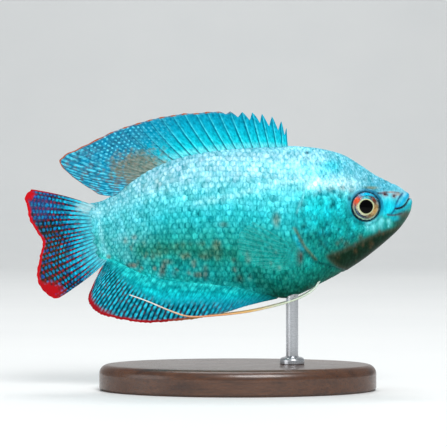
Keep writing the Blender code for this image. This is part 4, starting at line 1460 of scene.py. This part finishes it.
def eye_material():
    gloss = {"Specular_IOR_Level": 0.07, "Coat_Weight": 0.02, "Coat_Roughness": 0.03}
    made = Shader("eye", Roughness=0.08, **gloss)
    ring = made.number("ring")
    kept = made.ramp(made.over(ring, EYE_RADIUS), ((0.44, 0.25), (0.54, 1.0)))
    wander = made.times(made.waver(900.0, 0.36, detail=4.0), kept)
    share = made.over(made.plus(ring, wander), IRIS_RADIUS)
    iris = tinted(made, share, IRIS_RINGS)
    for word, low, high, tint, strength in IRIS_ARCS:
        band = ((low - 0.03, 0.0), (low, 1.0), (high, 1.0), (high + 0.03, 0.0))
        arc = made.times(made.number(word), made.ramp(share, band))
        iris = made.mix(made.times(arc, strength), iris, srgb(*tint))
    speckle = made.noise(2600.0, luck=4.0)
    outside = made.rise(share, 0.48, 0.56)
    dark = made.times(made.fall(speckle, 0.36, 0.48, 0.75), outside)
    light = made.times(made.rise(speckle, 0.54, 0.7, 0.22), outside)
    iris = made.mix(dark, iris, (0.35, 0.35, 0.4), "MULTIPLY")
    iris = made.mix(light, iris, (0.75, 0.9, 0.85))
    made.set("Base Color", iris)
    return made.material


def wood_material():
    made = Shader("walnut", Roughness=0.3, Coat_Weight=0.35, Coat_Roughness=0.15)
    along = made.stretched(made.place(), (18.0, 260.0, 260.0))
    warp = made.noise(1.2, along, 6.0, 0.6)
    grain = made.noise(3.5, made.stretched(made.place(), (60.0, 900.0, 900.0)), 5.0, 0.7)
    tone = tinted(made, warp, ((0.3, (58, 34, 22)), (0.5, (92, 58, 38)), (0.7, (70, 42, 27))))
    tone = made.mix(made.rise(grain, 0.45, 0.65, 0.7), tone, srgb(38, 22, 15))
    return made.finish(tone, grain, ((0.4, 0.26), (0.7, 0.42)), 0.2, 0.08)


def steel_material():
    made = Shader("brushed_steel", Metallic=1.0)
    brushed = made.noise(4.0, made.stretched(made.place(), (120.0, 120.0, 2600.0)), 4.0)
    tone = made.mix(brushed, srgb(176, 178, 182), srgb(214, 216, 220))
    return made.finish(tone, brushed, ((0.3, 0.22), (0.7, 0.36)), 0.15, 0.03)


def floor_material():
    made = Shader("studio_floor", Roughness=0.6)
    mottle = made.noise(14.0, detail=4.0)
    made.set("Base Color", made.mix(mottle, srgb(224, 226, 226), srgb(232, 233, 232)))
    return made.material


# Studio


def make_floor():
    """One pale sheet: flat under the model, then curved up behind it."""
    width, reach, rise, bend = 3.0, 1.0, 1.4, 0.5
    rows = [(-3.0, 0.0), (0.0, 0.0)]
    for sine, cosine in quarter(12):
        rows.append((reach + bend * sine, bend * (1 - cosine)))
    rows.append((reach + bend, rise))
    points = [(x, y, z) for y, z in rows for x in (-width, width)]
    mesh = bpy.data.meshes.new("studio_sheet")
    mesh.from_pydata(points, [], grid_faces(len(rows), 2, flip=True))
    mesh.materials.append(floor_material())
    mesh.shade_smooth()
    floor = add_object("studio_sheet", mesh)


def add_light(name, place, aim, size, power):
    lamp = bpy.data.lights.new(name, "AREA")
    lamp.shape = "DISK"
    lamp.size = size
    lamp.energy = power
    obj = add_object(name, lamp)
    obj.location = place
    obj.rotation_euler = (Vector(place) - Vector(aim)).to_track_quat("Z", "Y").to_euler()


def light_studio():
    world = bpy.data.worlds.new("soft_room")
    world.use_nodes = True
    sky = world.node_tree.nodes["Background"]
    sky.inputs["Color"].default_value = (0.86, 0.9, 0.93, 1.0)
    sky.inputs["Strength"].default_value = 0.42
    bpy.context.scene.world = world
    middle = (0.0, 0.0, 0.03)
    add_light("key", (0.12, -0.42, 0.46), middle, 0.3, 2.6)
    add_light("fill", (-0.5, -0.3, 0.16), middle, 0.4, 0.6)
    add_light("top", (0.0, 0.12, 0.6), middle, 0.4, 1.5)
    add_light("backdrop", (0.0, 0.55, 1.0), (0.0, 1.2, 0.2), 0.5, 5.0)


def add_camera():
    camera = bpy.data.cameras.new("photo_view")
    camera.lens = LENS
    camera.sensor_width = SENSOR
    camera.clip_start = 0.01
    obj = add_object("photo_view", camera)
    distance = LENS / SENSOR * PHOTO_PIXELS * MM_PER_PIXEL * MM
    obj.location = (VIEW_X * MM, -distance, VIEW_Z * MM)
    obj.rotation_euler = (math.pi / 2, 0.0, 0.0)
    bpy.context.scene.camera = obj
    bpy.context.scene.view_settings.view_transform = "Standard"


def main():
    make_skin(skin_material())
    girth = Girth()
    coat = coat_material()
    make_dorsal(dorsal_material())
    make_anal(anal_material())
    make_caudal(caudal_material())
    clear, thread, iris = pectoral_material(), feeler_material(), eye_material()
    for word, side in (("left", 1), ("right", -1)):
        sites = scale_sites(girth)
        for part, (start, end) in COAT_BREAKS.items():
            held = sites[(sites[:, 0] >= start) & (sites[:, 0] < end)]
            make_coat(f"scales_{word}_{part}", side, held, girth, coat)
        make_eye(f"eyeball_{word}", side, f"eye_{word}", iris)
        make_pectoral(f"pectoral_{word}", side, f"pectoral_fin_{word}", clear)
        make_feeler(f"feeler_{word}", side, f"pelvic_feeler_{word}", thread)
    make_base(wood_material())
    make_rod(steel_material())
    make_floor()
    light_studio()
    add_camera()


main()
